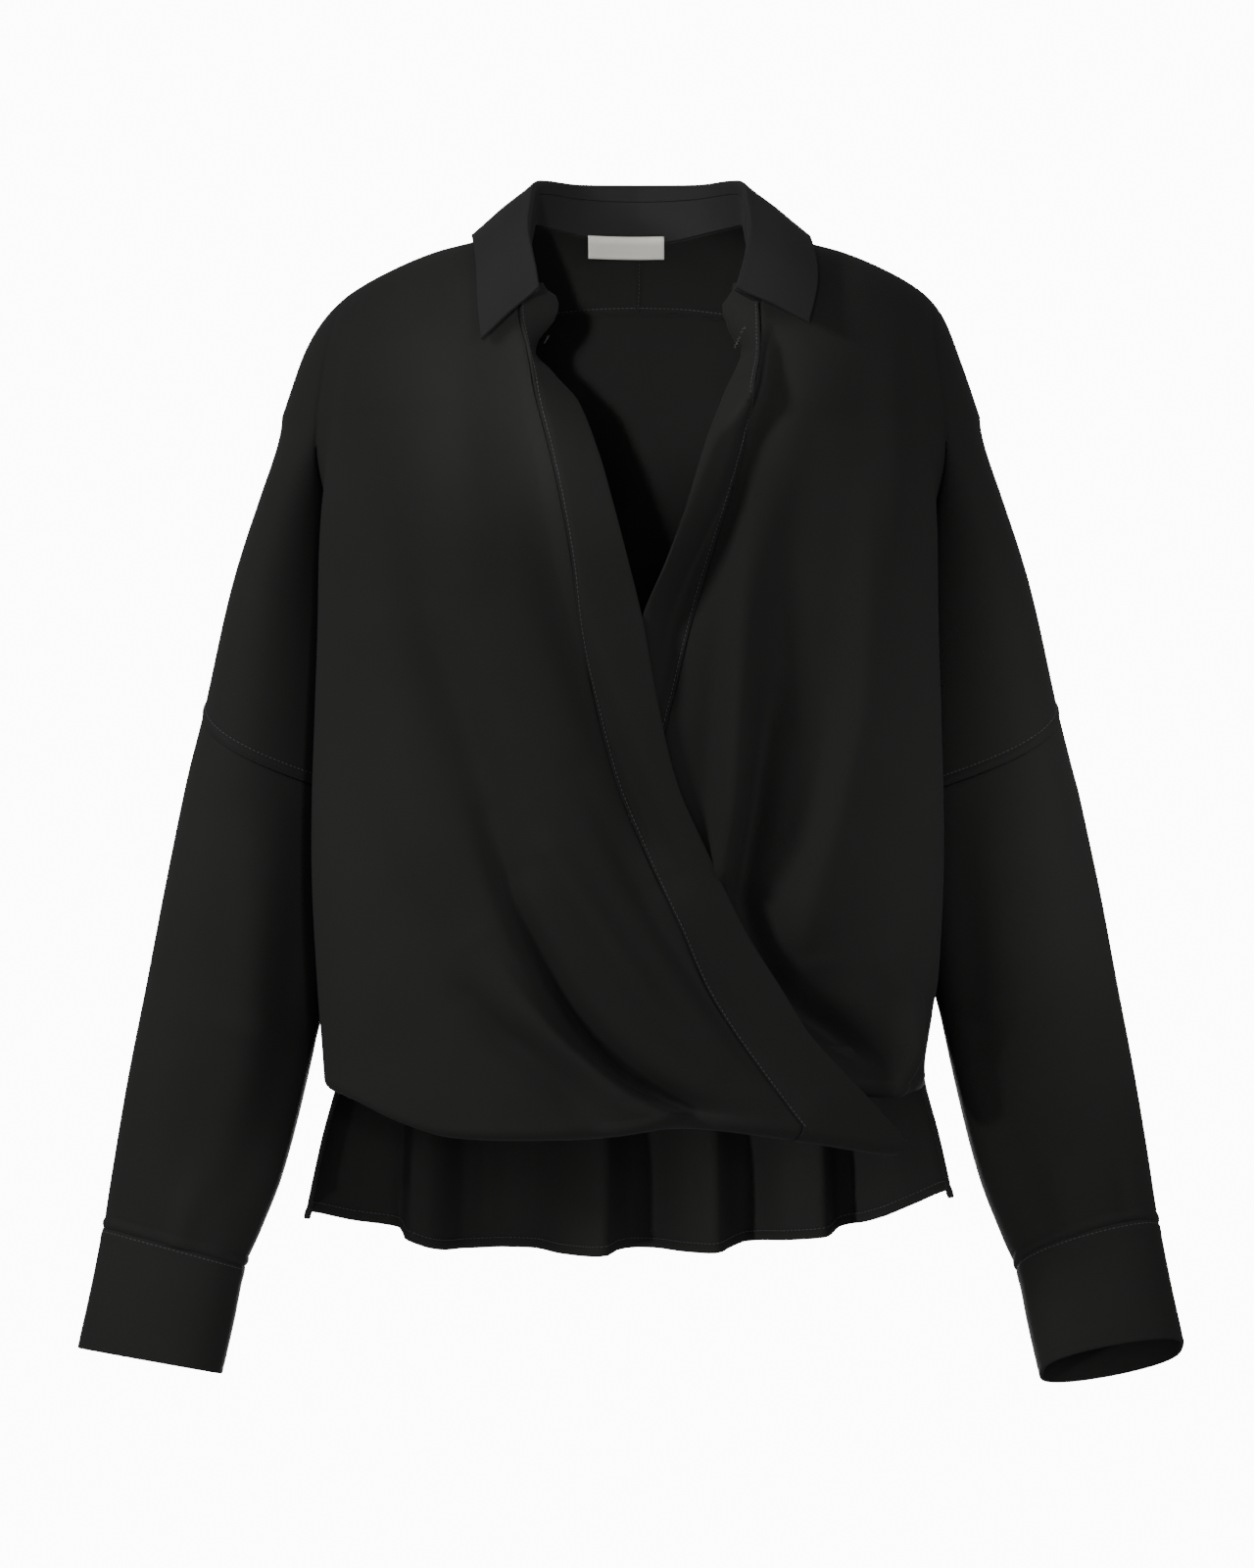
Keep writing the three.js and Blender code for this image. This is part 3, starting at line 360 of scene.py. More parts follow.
LEFT_EDGE = table(
    "z x stitch sunk",
    (30, 56, 66, 24), (14, 57, 66, 24), (-10, 59, 69, 24), (-33, 60, 75, 24), (-44, 54.5, 76.5, 26),
    (-50, 57, 77.5, 28), (-58, 60.5, 78.5, 30), (-64, 64, 79, 32), (-69, 69, 79.3, 33), (-74, 69.5, 79, 33),
    (-81, 67, 78.5, 31), (-88, 64, 77, 28), (-96, 60, 75.5, 24), (-106, 56, 74, 18), (-122, 49.5, 71, 8),
    (-135, 45, 69, 2), (-167, 35, 60, -2), (-205, 22, 48, -3), (-239, 7, 38, -2), (-291, -9, 25, 0),
    (-341, -26, 11, 0), (-384, -45, -7, 0), (-428, -66, -28, 0), (-465, -89, -44, 0),
    (-496, -109, -64, 0), (-530, -140, -90, 0), (-600, -186, -140, 0),
)
RIGHT_HEM = table(
    "x z", (-200, -568), (-177, -567), (-118, -557), (-46, -549), (0, -553), (50, -555),
    (116, -554), (147, -546), (182, -531), (200, -528),
)
LEFT_HEM = table(
    "x z", (-200, -496), (-150, -514), (-100, -520), (0, -520), (50, -518), (100, -524),
    (150, -529), (182, -530), (200, -526),
)
RIGHT_FOLDS = (
    # highlight of the chest
    fold(22, 16, 0, (105, -63, 2), (100, -135, 7), (95, -213, 2)),
    # trough beside the band
    fold(16, 9, 0, (72, -84, -2), (59, -146, -5), (42, -229, -8), (17, -301, -11), (-9, -364, -12),
         (-23, -394, -5)),
    # soft trough above the swag
    fold(15, 17, 0, (133, -177, -2), (122, -239, -6), (106, -291, -8), (89, -343, -9), (72, -391, -4)),
    # swag, its trough
    fold(6, 10, 0, (89, -365, -4), (73, -415, -11), (57, -449, -16), (39, -481, -19), (17, -507, -19),
         (-6, -526, -17), (-33, -539, -12), (-60, -547, -4)),
    # soft ridge beside it
    fold(20, 26, 0, (143, -246, 3), (137, -322, 7), (123, -383, 6), (96, -430, 2)),
    # swag, its ridge
    fold(15, 6, 4, (86, -439, 2), (68, -470, 6), (47, -497, 9), (23, -519, 10), (-3, -538, 10),
         (-33, -549, 8), (-60, -550, 3)),
    # dimple under the swag
    fold(12, 9, 0, (96, -473, -4), (79, -492, -8), (57, -509, -9), (36, -528, -9), (23, -544, -5)),
    # ridge over the swag
    fold(9, 9, 0, (46, -384, 3), (16, -431, 6), (-15, -478, 5), (-47, -510, 2)),
    # second trough beside the band
    fold(9, 12, 0, (30, -337, -2), (-6, -405, -6), (-31, -446, -7), (-68, -498, -6), (-94, -529, -3)),
)
LEFT_FOLDS = (
    # crest of the rolled band
    fold(7, 9, 0, (77, -80, 5), (75, -94, 9), (69, -106, 9), (58, -119, 8), (49, -131, 8),
         (33, -175, 8), (18, -210, 6), (6, -243, 2)),
    # valley along the band
    fold(16, 7, 0, (87, -75, -10), (81, -103, -14), (71, -136, -15), (56, -175, -13), (37, -213, -12),
         (25, -246, -9), (20, -282, -5)),
    # ridge beside it
    fold(15, 8, 0, (78, -163, 3), (71, -198, 6), (66, -239, 10), (61, -301, 16), (59, -353, 18),
         (56, -391, 12)),
    # soft chest trough
    fold(16, 15, 0, (115, -125, -2), (104, -187, -3), (96, -250, -3), (88, -305, -3)),
    # long trough
    fold(12, 9, 0, (84, -291, -4), (75, -353, -14), (69, -405, -16), (80, -446, -13), (101, -478, -12),
         (133, -495, -10), (160, -516, -5)),
    # outer ridge
    fold(30, 12, 0, (147, -163, 3), (144, -203, 7), (139, -255, 11), (134, -301, 14), (119, -364, 16),
         (106, -415, 13), (107, -445, 5)),
    # highlight of the chest
    fold(20, 14, 0, (161, -50, 0), (161, -100, 4), (160, -160, 3), (159, -215, 0)),
    # bulge above the tuck
    fold(8, 8, 0, (156, -451, 3), (170, -472, 7), (173, -501, 11), (166, -522, 11), (153, -532, 7)),
    # hollow before the bulge
    fold(17, 15, 0, (96, -460, -8), (119, -485, -14), (140, -506, -15), (152, -522, -9)),
    # tuck below the bulge
    fold(10, 9, 0, (184, -484, -4), (183, -519, -8), (169, -536, -6)),
)
# The sizes of one front: its tables, its folds, how far it lies over the other front, whether that
# one covers it, and how deep its lower edge curls.
Front = namedtuple("Front", "edge hem folds lift covered curl")
RIGHT = Front(RIGHT_EDGE, RIGHT_HEM, RIGHT_FOLDS, OVERLAP_LIFT, False, 24)
LEFT = Front(LEFT_EDGE, LEFT_HEM, LEFT_FOLDS, 0, True, 11)
print("folds on the right and left front:", len(RIGHT_FOLDS), len(LEFT_FOLDS))

# %% [markdown]
# A front's surface is the worn shape with its folds and its lift over the other front added along
# the way that the cloth faces. Where the free edge crosses each row is found by halving the gap again
# and again, and the lower edge turns under itself in one round bend.

# %% A front's surface
HEM_ROUND, TURN_UP, BEND_SHARE = 6, 21, 0.6
FOLD_HEADING = 1.2
HALVINGS = 26
SLANT_STEP = 8


def front_surface(front, across, row):
    """Points of one front in its own frame, with its folds."""
    across, row = np.broadcast_arrays(np.asarray(across, float), np.asarray(row, float))
    guide = hanging_point(-1, across, (UNDERARM_Z + SIDE_SEAM_END_Z) / 2)
    hem_z = read(front.hem, "x", guide[..., 0])["z"] + HEM_ROUND * smoothstep(row, 2.7, 3)
    point = rows_point(-1, across, row, hem_z)
    x, z = point[..., 0], point[..., 2]
    side_fade = 1 - smoothstep(across, 0.8, 0.95)
    settle = smoothstep(row, 0.4, 1.2) * side_fade
    fold_in = smoothstep(row, 0.35, 0.75) * side_fade
    cover = 0.0
    if front.covered:
        cover = smoothstep(-x - read(RIGHT_EDGE, "z", z)["x"], -2, 24)
    folds, slide_x, slide_z = fold_lift(front.folds, x, z)
    lift = fold_in * folds * (1 - cover) + settle * (front.lift - UNDERLAP_SINK * cover)
    heading = np.clip(across, -1, 1) * FOLD_HEADING
    return np.stack([
        x + lift * np.sin(heading) + fold_in * slide_x * (1 - cover),
        point[..., 1] - lift * np.cos(heading),
        z + fold_in * slide_z * (1 - cover),
    ], axis=-1)


def edge_across(front, row, share, inset, fold_gap=0.0):
    """Where each row crosses a line between the free edge (0) and the stitched edge (1)."""
    row = np.asarray(row, float)
    low, high = np.full_like(row, -0.99), np.full_like(row, 0.8)
    for _ in range(HALVINGS):
        middle = (low + high) / 2
        p = front_surface(front, middle, row)
        edge = read(front.edge, "z", p[..., 2])
        below = read(front.edge, "z", p[..., 2] - SLANT_STEP)
        slant = np.hypot(edge["x"] - below["x"], SLANT_STEP) / SLANT_STEP
        gap = (inset + fold_gap * edge["sunk"]) * slant
        short = p[..., 0] < mix(edge["x"], edge["stitch"], share) + gap
        low, high = np.where(short, middle, low), np.where(short, high, middle)
    return (low + high) / 2


def turned_under(front, line, steps):
    """The lower edge turned back under itself, as rows of points inside it."""
    inward = -line[:, :2] * (0.75, 1)
    inward /= np.linalg.norm(inward, axis=1)[:, None]
    rows = []
    for step in np.linspace(0, 1, steps + 1)[1:]:
        bend = min(step / BEND_SHARE, 1) * math.pi
        into = front.curl * (1 - math.cos(bend)) / 2
        climb = TURN_UP * max(step - BEND_SHARE, 0) / (1 - BEND_SHARE)
        up = climb - (HEM_ROUND + 3) * math.sin(bend)
        rows.append(np.column_stack([line[:, :2] + inward * into, line[:, 2] + up]))
    return np.array(rows)


def shifted(grid):
    """The neck and collar sit a little to the wearer's left."""
    moved = grid.copy()
    moved[..., 0] += NECK_SHIFT * smoothstep(grid[..., 2], -75, -15)
    return moved


test = front_surface(RIGHT, 0.0, 2.5)
print("right front at the waist stands", round(float(-test[1])), "mm forward")

# %% [markdown]
# Crepe is matt and slightly pebbled, because its yarns are twisted hard. One shared node group makes
# that grain from two noises on the object's own coordinates: a fine one that only tilts the surface,
# and a broad one that shades the colour a little. The black cloth, the stiffened cloth of the collar,
# the thread and the label's ribbon are four finishes that use it.

# %% Cloth finishes


def add_node(nodes, kind, **values):
    """A shader node with some inputs set. An underscore stands for a space in an input's name."""
    made = nodes.new(f"ShaderNode{kind}")
    for name, value in values.items():
        made.inputs[name.replace("_", " ")].default_value = value
    return made


def grain_group():
    """A node group that gives the grain's colour and normal."""
    group = bpy.data.node_groups.new("crepe_grain", "ShaderNodeTree")
    for name, way, kind in (("Cloth", "INPUT", "Color"), ("Color", "OUTPUT", "Color"),
                            ("Normal", "OUTPUT", "Vector")):
        group.interface.new_socket(name, in_out=way, socket_type=f"NodeSocket{kind}")
    nodes, links = group.nodes, group.links
    given, result = nodes.new("NodeGroupInput"), nodes.new("NodeGroupOutput")
    place = add_node(nodes, "TexCoord")
    fine = add_node(nodes, "TexNoise", Scale=900, Detail=3)
    broad = add_node(nodes, "TexNoise", Scale=14, Detail=2)
    shade = add_node(nodes, "MapRange", To_Min=0.86, To_Max=1.14)
    relief = add_node(nodes, "Bump", Strength=0.35, Distance=0.0003)
    tint = add_node(nodes, "VectorMath")
    tint.operation = "SCALE"
    for source, output, target, socket in (
        (place, "Object", fine, "Vector"), (place, "Object", broad, "Vector"),
        (broad, "Fac", shade, "Value"), (given, "Cloth", tint, 0),
        (shade, "Result", tint, "Scale"), (fine, "Fac", relief, "Height"),
        (tint, "Vector", result, "Color"), (relief, "Normal", result, "Normal"),
    ):
        links.new(source.outputs[output], target.inputs[socket])
    return group


GRAIN = grain_group()


def cloth_material(name, color, roughness, sheen):
    """A finish with the shared grain."""
    material = bpy.data.materials.new(name)
    material.use_nodes = True
    nodes, links = material.node_tree.nodes, material.node_tree.links
    shader = nodes["Principled BSDF"]
    shader.inputs["Roughness"].default_value = roughness
    shader.inputs["Specular IOR Level"].default_value = 0.16
    shader.inputs["Sheen Weight"].default_value = sheen
    shader.inputs["Sheen Roughness"].default_value = 0.5
    grain = nodes.new("ShaderNodeGroup")
    grain.node_tree = GRAIN
    grain.inputs["Cloth"].default_value = (*color, 1)
    links.new(grain.outputs["Color"], shader.inputs["Base Color"])
    links.new(grain.outputs["Normal"], shader.inputs["Normal"])
    return material


CREPE = cloth_material("black_crepe", (0.0122, 0.0120, 0.0114), 0.85, 0.01)
FACED = cloth_material("faced_crepe", (0.0124, 0.0124, 0.0128), 0.8, 0.01)
THREAD = cloth_material("black_thread", (0.055, 0.055, 0.056), 0.6, 0.0)
RIBBON = cloth_material("pale_ribbon", (0.62, 0.6, 0.55), 0.5, 0.1)
print("finishes:", CREPE.name, FACED.name, THREAD.name, RIBBON.name)

# %% [markdown]
# Every sheet is made the same way: a grid of points becomes quads, with its lengths along the cloth
# as UVs, and a Solidify modifier gives it its wall on both sides. The shell is the whole sheet, so
# both faces are cloth. Sewing shows as small rises and dips at set distances from an edge of the
# sheet, so a second helper moves the points near an edge along their normals.

# %% Helpers for sheets of cloth
LAYER, DOUBLE_LAYER = 1.4, 2.2


def spacing(count, fine_start=0.0, fine_end=0.0, reach=0.06):
    """Places from 0 to 1 that stand closer together near the ends."""
    t = np.linspace(0, 1, 400)
    density = 1 + fine_start * np.exp(-t / reach) + fine_end * np.exp(-(1 - t) / reach)
    total = np.concatenate([[0], np.cumsum((density[1:] + density[:-1]) / 2)])
    return np.interp(np.linspace(0, 1, count), total / total[-1], t)


def grid_normals(grid, closed=False):
    """Unit normals of a grid, across its rows and columns."""
    if closed:
        wrapped = np.concatenate([grid[:, -1:], grid, grid[:, :1]], axis=1)
        along = (wrapped[:, 2:] - wrapped[:, :-2]) / 2
    else:
        along = np.gradient(grid, axis=1)
    normal = np.cross(along, np.gradient(grid, axis=0))
    return normal / np.maximum(np.linalg.norm(normal, axis=-1), 1e-9)[..., None]


def outward(grid, normals, axis_x=0.0, axis_y=0.0):
    """The same normals, turned to point away from an upright axis."""
    away = np.nansum(normals[..., 0] * (grid[..., 0] - axis_x) + normals[..., 1] * (grid[..., 1] - axis_y))
    return normals if away > 0 else -normals


def sewn(grid, normals, edge, *reliefs):
    """Raises or sinks a grid near one edge. Each relief is (distance, width, height) in mm."""
    axis = 0 if edge in ("top", "bottom") else 1
    flip = edge in ("bottom", "right")
    ordered = np.flip(grid, axis) if flip else grid
    steps = np.linalg.norm(np.diff(ordered, axis=axis), axis=-1)
    zero = np.zeros_like(ordered[:1, :, 0] if axis == 0 else ordered[:, :1, 0])
    distance = np.concatenate([zero, np.nancumsum(steps, axis=axis)], axis=axis)
    distance = np.flip(distance, axis) if flip else distance
    height = sum(rise * bump(distance, place, width) for place, width, rise in reliefs)
    return grid + normals * height[..., None]


def quads(values, i, j, right):
    """What a grid holds at the four corners of each of its quads."""
    return np.stack([values[i, j], values[i, right], values[i + 1, right], values[i + 1, j]], axis=-1)


def new_piece(name, points, faces, material):
    """A smooth object at the origin from points in metres."""
    mesh = bpy.data.meshes.new(name)
    mesh.from_pydata(points.tolist(), [], faces)
    mesh.polygons.foreach_set("use_smooth", np.ones(len(faces), bool))
    mesh.materials.append(material)
    piece = bpy.data.objects.new(name, mesh)
    bpy.context.scene.collection.objects.link(piece)
    return piece


def cloth(name, grid, thickness, material, closed=False, axis=(0.0, 0.0), soft_edge=False):
    """A sheet of cloth from a grid of points in mm. Empty places of the grid are not a number."""
    grid = shifted(grid) * MM
    rows, columns = grid.shape[:2]
    there = ~np.isnan(grid[..., 0])
    number = np.full((rows, columns), -1)
    number[there] = np.arange(there.sum())
    i = np.arange(rows - 1)[:, None]
    j = np.arange(columns if closed else columns - 1)
    right = (j + 1) % columns
    corners = quads(number, i, j, right)
    wide = np.nan_to_num(np.linalg.norm(np.roll(grid, -1, axis=1) - grid, axis=-1))
    u = np.concatenate([np.zeros((rows, 1)), np.cumsum(wide, axis=1)], axis=1)
    long = np.nan_to_num(np.linalg.norm(np.diff(grid, axis=0), axis=-1))
    v = np.concatenate([np.zeros((1, columns)), -np.cumsum(long, axis=0)], axis=0)
    uvs = np.stack([quads(u, i, j, j + 1), quads(v, i, j, right)], axis=-1)
    whole = (corners >= 0).all(axis=-1)
    corners, uvs = corners[whole], uvs[whole]
    points = grid[there]
    a, b, c = points[corners[:, 0]], points[corners[:, 1]], points[corners[:, 2]]
    facing = np.cross(b - a, c - a)
    away = (a + c)[:, :2] / 2 - np.array(axis) * MM
    if np.sum(facing[:, :2] * away) < 0:
        corners, uvs = corners[:, ::-1], uvs[:, ::-1]
    piece = new_piece(name, points, corners.tolist(), material)
    piece.data.uv_layers.new(name="cut").data.foreach_set("uv", uvs.ravel())
    wall = piece.modifiers.new("wall", "SOLIDIFY")
    wall.thickness = thickness * MM
    wall.offset = 0
    wall.use_even_offset = False
    if soft_edge:
        rounding = piece.modifiers.new("edge", "BEVEL")
        rounding.width = 0.3 * thickness * MM
        rounding.segments = 2
        rounding.limit_method = "ANGLE"
        rounding.angle_limit = math.radians(60)
    area = sum(face.area for face in piece.data.polygons)
    print(name, "quads:", len(corners), " area:", round(area, 4), "m2")


def mirrored(grid):
    """The same grid on the other side of the body."""
    return grid * (-1, 1, 1)


# %% [markdown]
# Stitches show as short raised lines, so each is a tiny closed tube of thread that dips into the
# cloth at both ends. One helper finds a line at a set distance from an edge, with the cloth's normals
# along it, and another sets stitches of one pitch along such lines.

# %% Helpers for stitches


def lengths(line):
    """The distance along a line at each of its points."""
    return np.concatenate([[0], np.cumsum(np.linalg.norm(np.diff(line, axis=0), axis=1))])


def along_line(values, far, places):
    """A line's values at distances along it."""
    return np.stack([np.interp(places, far, values[:, k]) for k in range(3)], axis=-1)


def seam_path(grid, edge, inset, closed=False, axis_x=0.0, axis_y=0.0):
    """Points at one distance from an edge of a grid, with the normals of its outer face."""
    normals = outward(grid, grid_normals(grid, closed), axis_x, axis_y)
    if edge in ("left", "right"):
        grid, normals = grid.swapaxes(0, 1), normals.swapaxes(0, 1)
    if edge in ("bottom", "right"):
        grid, normals = grid[::-1], normals[::-1]
    steps = np.linalg.norm(np.diff(grid, axis=0), axis=-1)
    distance = np.concatenate([np.zeros((1, grid.shape[1])), np.cumsum(steps, axis=0)])
    k = np.argmax(distance > inset, axis=0) - 1
    column = np.arange(grid.shape[1])
    share = ((inset - distance[k, column]) / steps[k, column])[:, None]
    return (mix(grid[k, column], grid[k + 1, column], share),
            mix(normals[k, column], normals[k + 1, column], share))


STITCH_PITCH, STITCH_LENGTH, THREAD_RADIUS = 2.8, 2.1, 0.27
# A stitch as rings of thread: place along it, size, and height over the cloth.
STITCH_RINGS = ((0, 0.5, -0.2), (0.2, 1, 0.12), (0.8, 1, 0.12), (1, 0.5, -0.2))
RING_POINTS = 6


def thread(name, height, *runs, pitch=STITCH_PITCH, length=STITCH_LENGTH):
    """Stitches along lines of points, on the faces that the normals point out of."""
    turn = np.linspace(0, 2 * math.pi, RING_POINTS + 1)[:-1, None]
    blocks = []
    for line, up in runs:
        line = shifted(line)
        far = lengths(line)
        starts = np.arange(pitch / 2, far[-1] - length, pitch)
        a, b = along_line(line, far, starts), along_line(line, far, starts + length)
        rise = along_line(up, far, starts + length / 2)
        rise /= np.linalg.norm(rise, axis=1)[:, None]
        side = np.cross(b - a, rise)
        side /= np.linalg.norm(side, axis=1)[:, None]
        spokes = np.cos(turn) * side[:, None] + np.sin(turn) * rise[:, None]
        rings = []
        for share, size, over in STITCH_RINGS:
            centre = mix(a, b, share) + rise * (height + over)
            rings.append(centre[:, None] + spokes * size * THREAD_RADIUS)
        blocks.append(np.stack(rings, axis=1).reshape(-1, 3))
    points = np.concatenate(blocks) * MM
    size = len(STITCH_RINGS) * RING_POINTS
    here = np.arange(RING_POINTS)
    beside = (here + 1) % RING_POINTS
    wall = np.stack([here + RING_POINTS, beside + RING_POINTS, beside, here], axis=-1)
    faces = []
    for first in range(0, len(points), size):
        faces += [(first + here).tolist(), (first + size - 1 - here).tolist()]
        for ring in range(first, first + size - RING_POINTS, RING_POINTS):
            faces += (ring + wall).tolist()
    new_piece(name, points, faces, THREAD)
    print(name, "stitches:", len(points) // size)


def mirrored_run(run):
    """The same stitches on the other side of the body."""
    return mirrored(run[0]), mirrored(run[1])


def inner_face(run):
    """The same stitches on the inside of the cloth."""
    return run[0], -run[1]


# %% [markdown]
# The two fronts are the body of the look. Each is one L-shaped grid: over the shoulder and down to
# the drop of the sleeve seam on the arm, and on to the lower edge on the body. The lower edge turns
# under in one round bend and hangs up inside, which gives the soft full hem of the picture. The
# band is a strip of its own along the free edge, doubled, with its own roll at the neck.

# %% Fronts and bands
TURN_ROWS = 20
CAP = np.linspace(0, 1, 36)[:-1]
CHEST = 1 + spacing(100, 0, 5, 0.03)
BODY = 2 + spacing(84, 0.5, 1.5, 0.05)[1:]
ROWS = np.concatenate([CAP, CHEST, BODY])
DROP_ROWS = int(np.sum(ROWS <= 2))
FRONT_COLUMNS, FRONT_ARM_COLUMNS = 124, 32
FRONT_AXIS_X = 65
BAND_ROLL = 1.3
DROP_SEAM = ((0, 0.8, 0.2), (3.2, 2.2, 0.9), (6.8, 0.7, -0.35))


def front_panel(front):
    """The grid of a front, with empty places beside the body below the arm."""
    gap = np.where(ROWS > BAND_TOP, 0.02, 0.0)
    start = edge_across(front, ROWS, 1, SEAM, gap)
    arm = 1 + spacing(FRONT_ARM_COLUMNS + 1)[None, 1:]
    across = np.concatenate([
        mix(start[:, None], 1.0, spacing(FRONT_COLUMNS, 3, 1.2, 0.04)[None, :]),
        np.broadcast_to(arm, (len(ROWS), FRONT_ARM_COLUMNS)),
    ], axis=1)
    grid = front_surface(front, across, ROWS[:, None])
    grid[0, :, 1] -= SEAM / 2
    grid[DROP_ROWS:, FRONT_COLUMNS - 1, 1] -= SEAM / 2
    grid[:, -1, 1] -= SEAM / 2
    normals = outward(grid, grid_normals(grid), FRONT_AXIS_X)
    grid = sewn(grid, normals, "left", (0, 1.4, -0.5))
    arm = np.s_[:DROP_ROWS, FRONT_COLUMNS - 1:]
    grid[arm] = sewn(grid[arm], normals[arm], "bottom", *DROP_SEAM)
    grid[DROP_ROWS:, FRONT_COLUMNS:] = np.nan
    under = np.full((TURN_ROWS, grid.shape[1], 3), np.nan)
    under[:, :FRONT_COLUMNS] = turned_under(front, grid[-1, :FRONT_COLUMNS], TURN_ROWS)
    return np.concatenate([grid, under])


def band_panel(front, columns=16):
    """The grid of a band, rolled back into the neck opening by its edge table."""
    rows = np.concatenate([[BAND_TOP], ROWS[ROWS > BAND_TOP + 0.005]])
    start, end = edge_across(front, rows, 0, 0), edge_across(front, rows, 1, -SEAM / 2)
    share = spacing(columns, 0.8, 3.5, 0.08)
    grid = front_surface(front, mix(start[:, None], end[:, None], share[None, :]), rows[:, None])
    sunk = read(front.edge, "z", grid[..., 2])["sunk"]
    grid[..., 1] += sunk * (1 - share[None, :]) ** BAND_ROLL
    normals = outward(grid, grid_normals(grid))
    grid = sewn(grid, normals, "right", (0, 0.8, 0.35), (2.4, 0.8, -0.2), (4.5, 2.0, 0.2))
    return np.concatenate([grid, turned_under(front, grid[-1], TURN_ROWS)])


right_front, left_front = front_panel(RIGHT), front_panel(LEFT)
right_band, left_band = band_panel(RIGHT), band_panel(LEFT)
cloth("crepe_front_right", mirrored(right_front), LAYER, CREPE)
cloth("crepe_front_left", left_front, LAYER, CREPE)
cloth("crepe_band_right", mirrored(right_band), DOUBLE_LAYER, CREPE, soft_edge=True)
cloth("crepe_band_left", left_band, DOUBLE_LAYER, CREPE, soft_edge=True)

# %% [markdown]
# The bands are stitched beside their seam and the arm parts above theirs. A short worked buttonhole
# on the left neck edge and a thread loop on the right one are satin lines, which run to and fro
# across the slit. Only the shown face of the bands has its stitches.

# %% Stitches of the fronts
BAND_STITCH, DROP_STITCH = 1.7, 6.8
SATIN_POINTS, SATIN_PITCH, SATIN_LENGTH = 15, 1.5, 1.3
# Start and end as (x, z), and half the width.
BUTTONHOLE = ((70.5, -58), (65, -69.5), 0.9)
LOOP = ((52.5, -61), (55.5, -67), 0.6)


def satin_run(band, start, end, half_width):
    """A zigzag between two (x, z) places on the outer face of a band."""
    t = np.linspace(0, 1, SATIN_POINTS)
    way = np.array(end) - start
    across = np.array([-way[1], way[0]]) / np.hypot(*way)
    swing = half_width * np.where(np.arange(SATIN_POINTS) % 2, 1, -1)
    places = np.array(start) + t[:, None] * way + swing[:, None] * across
    normals = outward(band, grid_normals(band))
    flat, face = band.reshape(-1, 3), normals.reshape(-1, 3)
    near = np.argmin(np.linalg.norm(flat[None][..., (0, 2)] - places[:, None], axis=-1), axis=1)
    return np.column_stack([places[:, 0], flat[near, 1], places[:, 1]]), face[near]


right_shown, left_shown = right_band[:-TURN_ROWS], left_band[:-TURN_ROWS]
thread("thread_band_right", DOUBLE_LAYER / 2,
       mirrored_run(seam_path(right_shown, "right", BAND_STITCH)))
thread("thread_band_left", DOUBLE_LAYER / 2, seam_path(left_shown, "right", BAND_STITCH))
thread("thread_buttonhole", DOUBLE_LAYER / 2, satin_run(left_shown, *BUTTONHOLE),
       pitch=SATIN_PITCH, length=SATIN_LENGTH)
thread("thread_loop", DOUBLE_LAYER / 2, mirrored_run(satin_run(right_shown, *LOOP)),
       pitch=SATIN_PITCH, length=SATIN_LENGTH)
right_run, left_run = (
    seam_path(grid[:DROP_ROWS, FRONT_COLUMNS - 1:], "bottom", DROP_STITCH)
    for grid in (right_front, left_front))
thread("thread_front_right", LAYER / 2, mirrored_run(right_run))
thread("thread_front_left", LAYER / 2, left_run)

# %% [markdown]
# The back hangs from the yoke in one piece, longer than the fronts, and its hem ripples. The ripples
# are flutes that start below the waist and stand forward. Its two halves of yoke meet in a seam at
# the middle, and curve round the neck.

# %% Back and yokes
BACK_HEM_GUIDE_Z = -610
BACK_HEM = table(
    "x z", (-213, -614), (-182, -623), (-146, -630), (-142, -636), (-118, -644), (-80, -645), (-57, -646),
    (-45, -648), (-17, -648), (-9, -645), (51, -646), (65, -643), (71, -641), (115, -636), (126, -634),
    (133, -630), (152, -626), (181, -614), (203, -604), (213, -600),
)
RIPPLES = table(
    "x forward", (-222, 0), (-186, 2), (-157, 4), (-149, 3), (-144, 19), (-131, 19), (-122, 12), (-112, -8),
    (-84, -16), (-64, -15), (-52, -6), (-34, 12), (-22, 22), (-14, 23), (-7, 0), (4, -10), (18, -9),
    (35, 10), (51, 21), (58, 22), (64, 0), (74, -9), (84, -6), (100, 12), (119, 20), (127, 21),
    (133, -3), (145, -9), (152, -4), (165, 5), (185, 5), (203, 0), (222, 0),
)
# How far the ripples lean outwards, and their softness at the waist and at the hem.
RIPPLE_LEAN, RIPPLE_SOFTNESS = 14, (11, 2.2)
BACK_FOLDS = (
    fold(16, 16, 0, (-28, -100, 1.8), (-28, -205, 6), (-22, -320, 1.2)),
    fold(14, 18, 0, (30, -100, 1.5), (32, -195, 5), (30, -300, 1)),
    fold(12, 12, 0, (0, -100, -1.2), (3, -200, -4), (4, -300, -0.8)),
    fold(22, 16, 0, (-120, -150, 1.5), (-119, -292, 5), (-124, -420, 1.5)),
    fold(18, 22, 0, (112, -160, 1.5), (116, -290, 5), (116, -440, 1.5)),
    fold(16, 20, 0, (-72, -260, -1.5), (-74, -380, -5), (-70, -500, -2.5)),
    fold(20, 16, 0, (70, -280, -1.5), (69, -400, -5), (74, -520, -2.5)),
    fold(14, 10, 0, (-160, -330, 0.9), (-120, -342, 3), (-80, -340, 0)),
    fold(10, 14, 0, (160, -340, 0.9), (122, -350, 3), (84, -350, 0)),
)
HEM_STITCH = 6.2
TURNED_HEM = ((1.4, 2.4, -0.8), (4.6, 2.2, -0.8), (7.6, 0.9, 0.4))


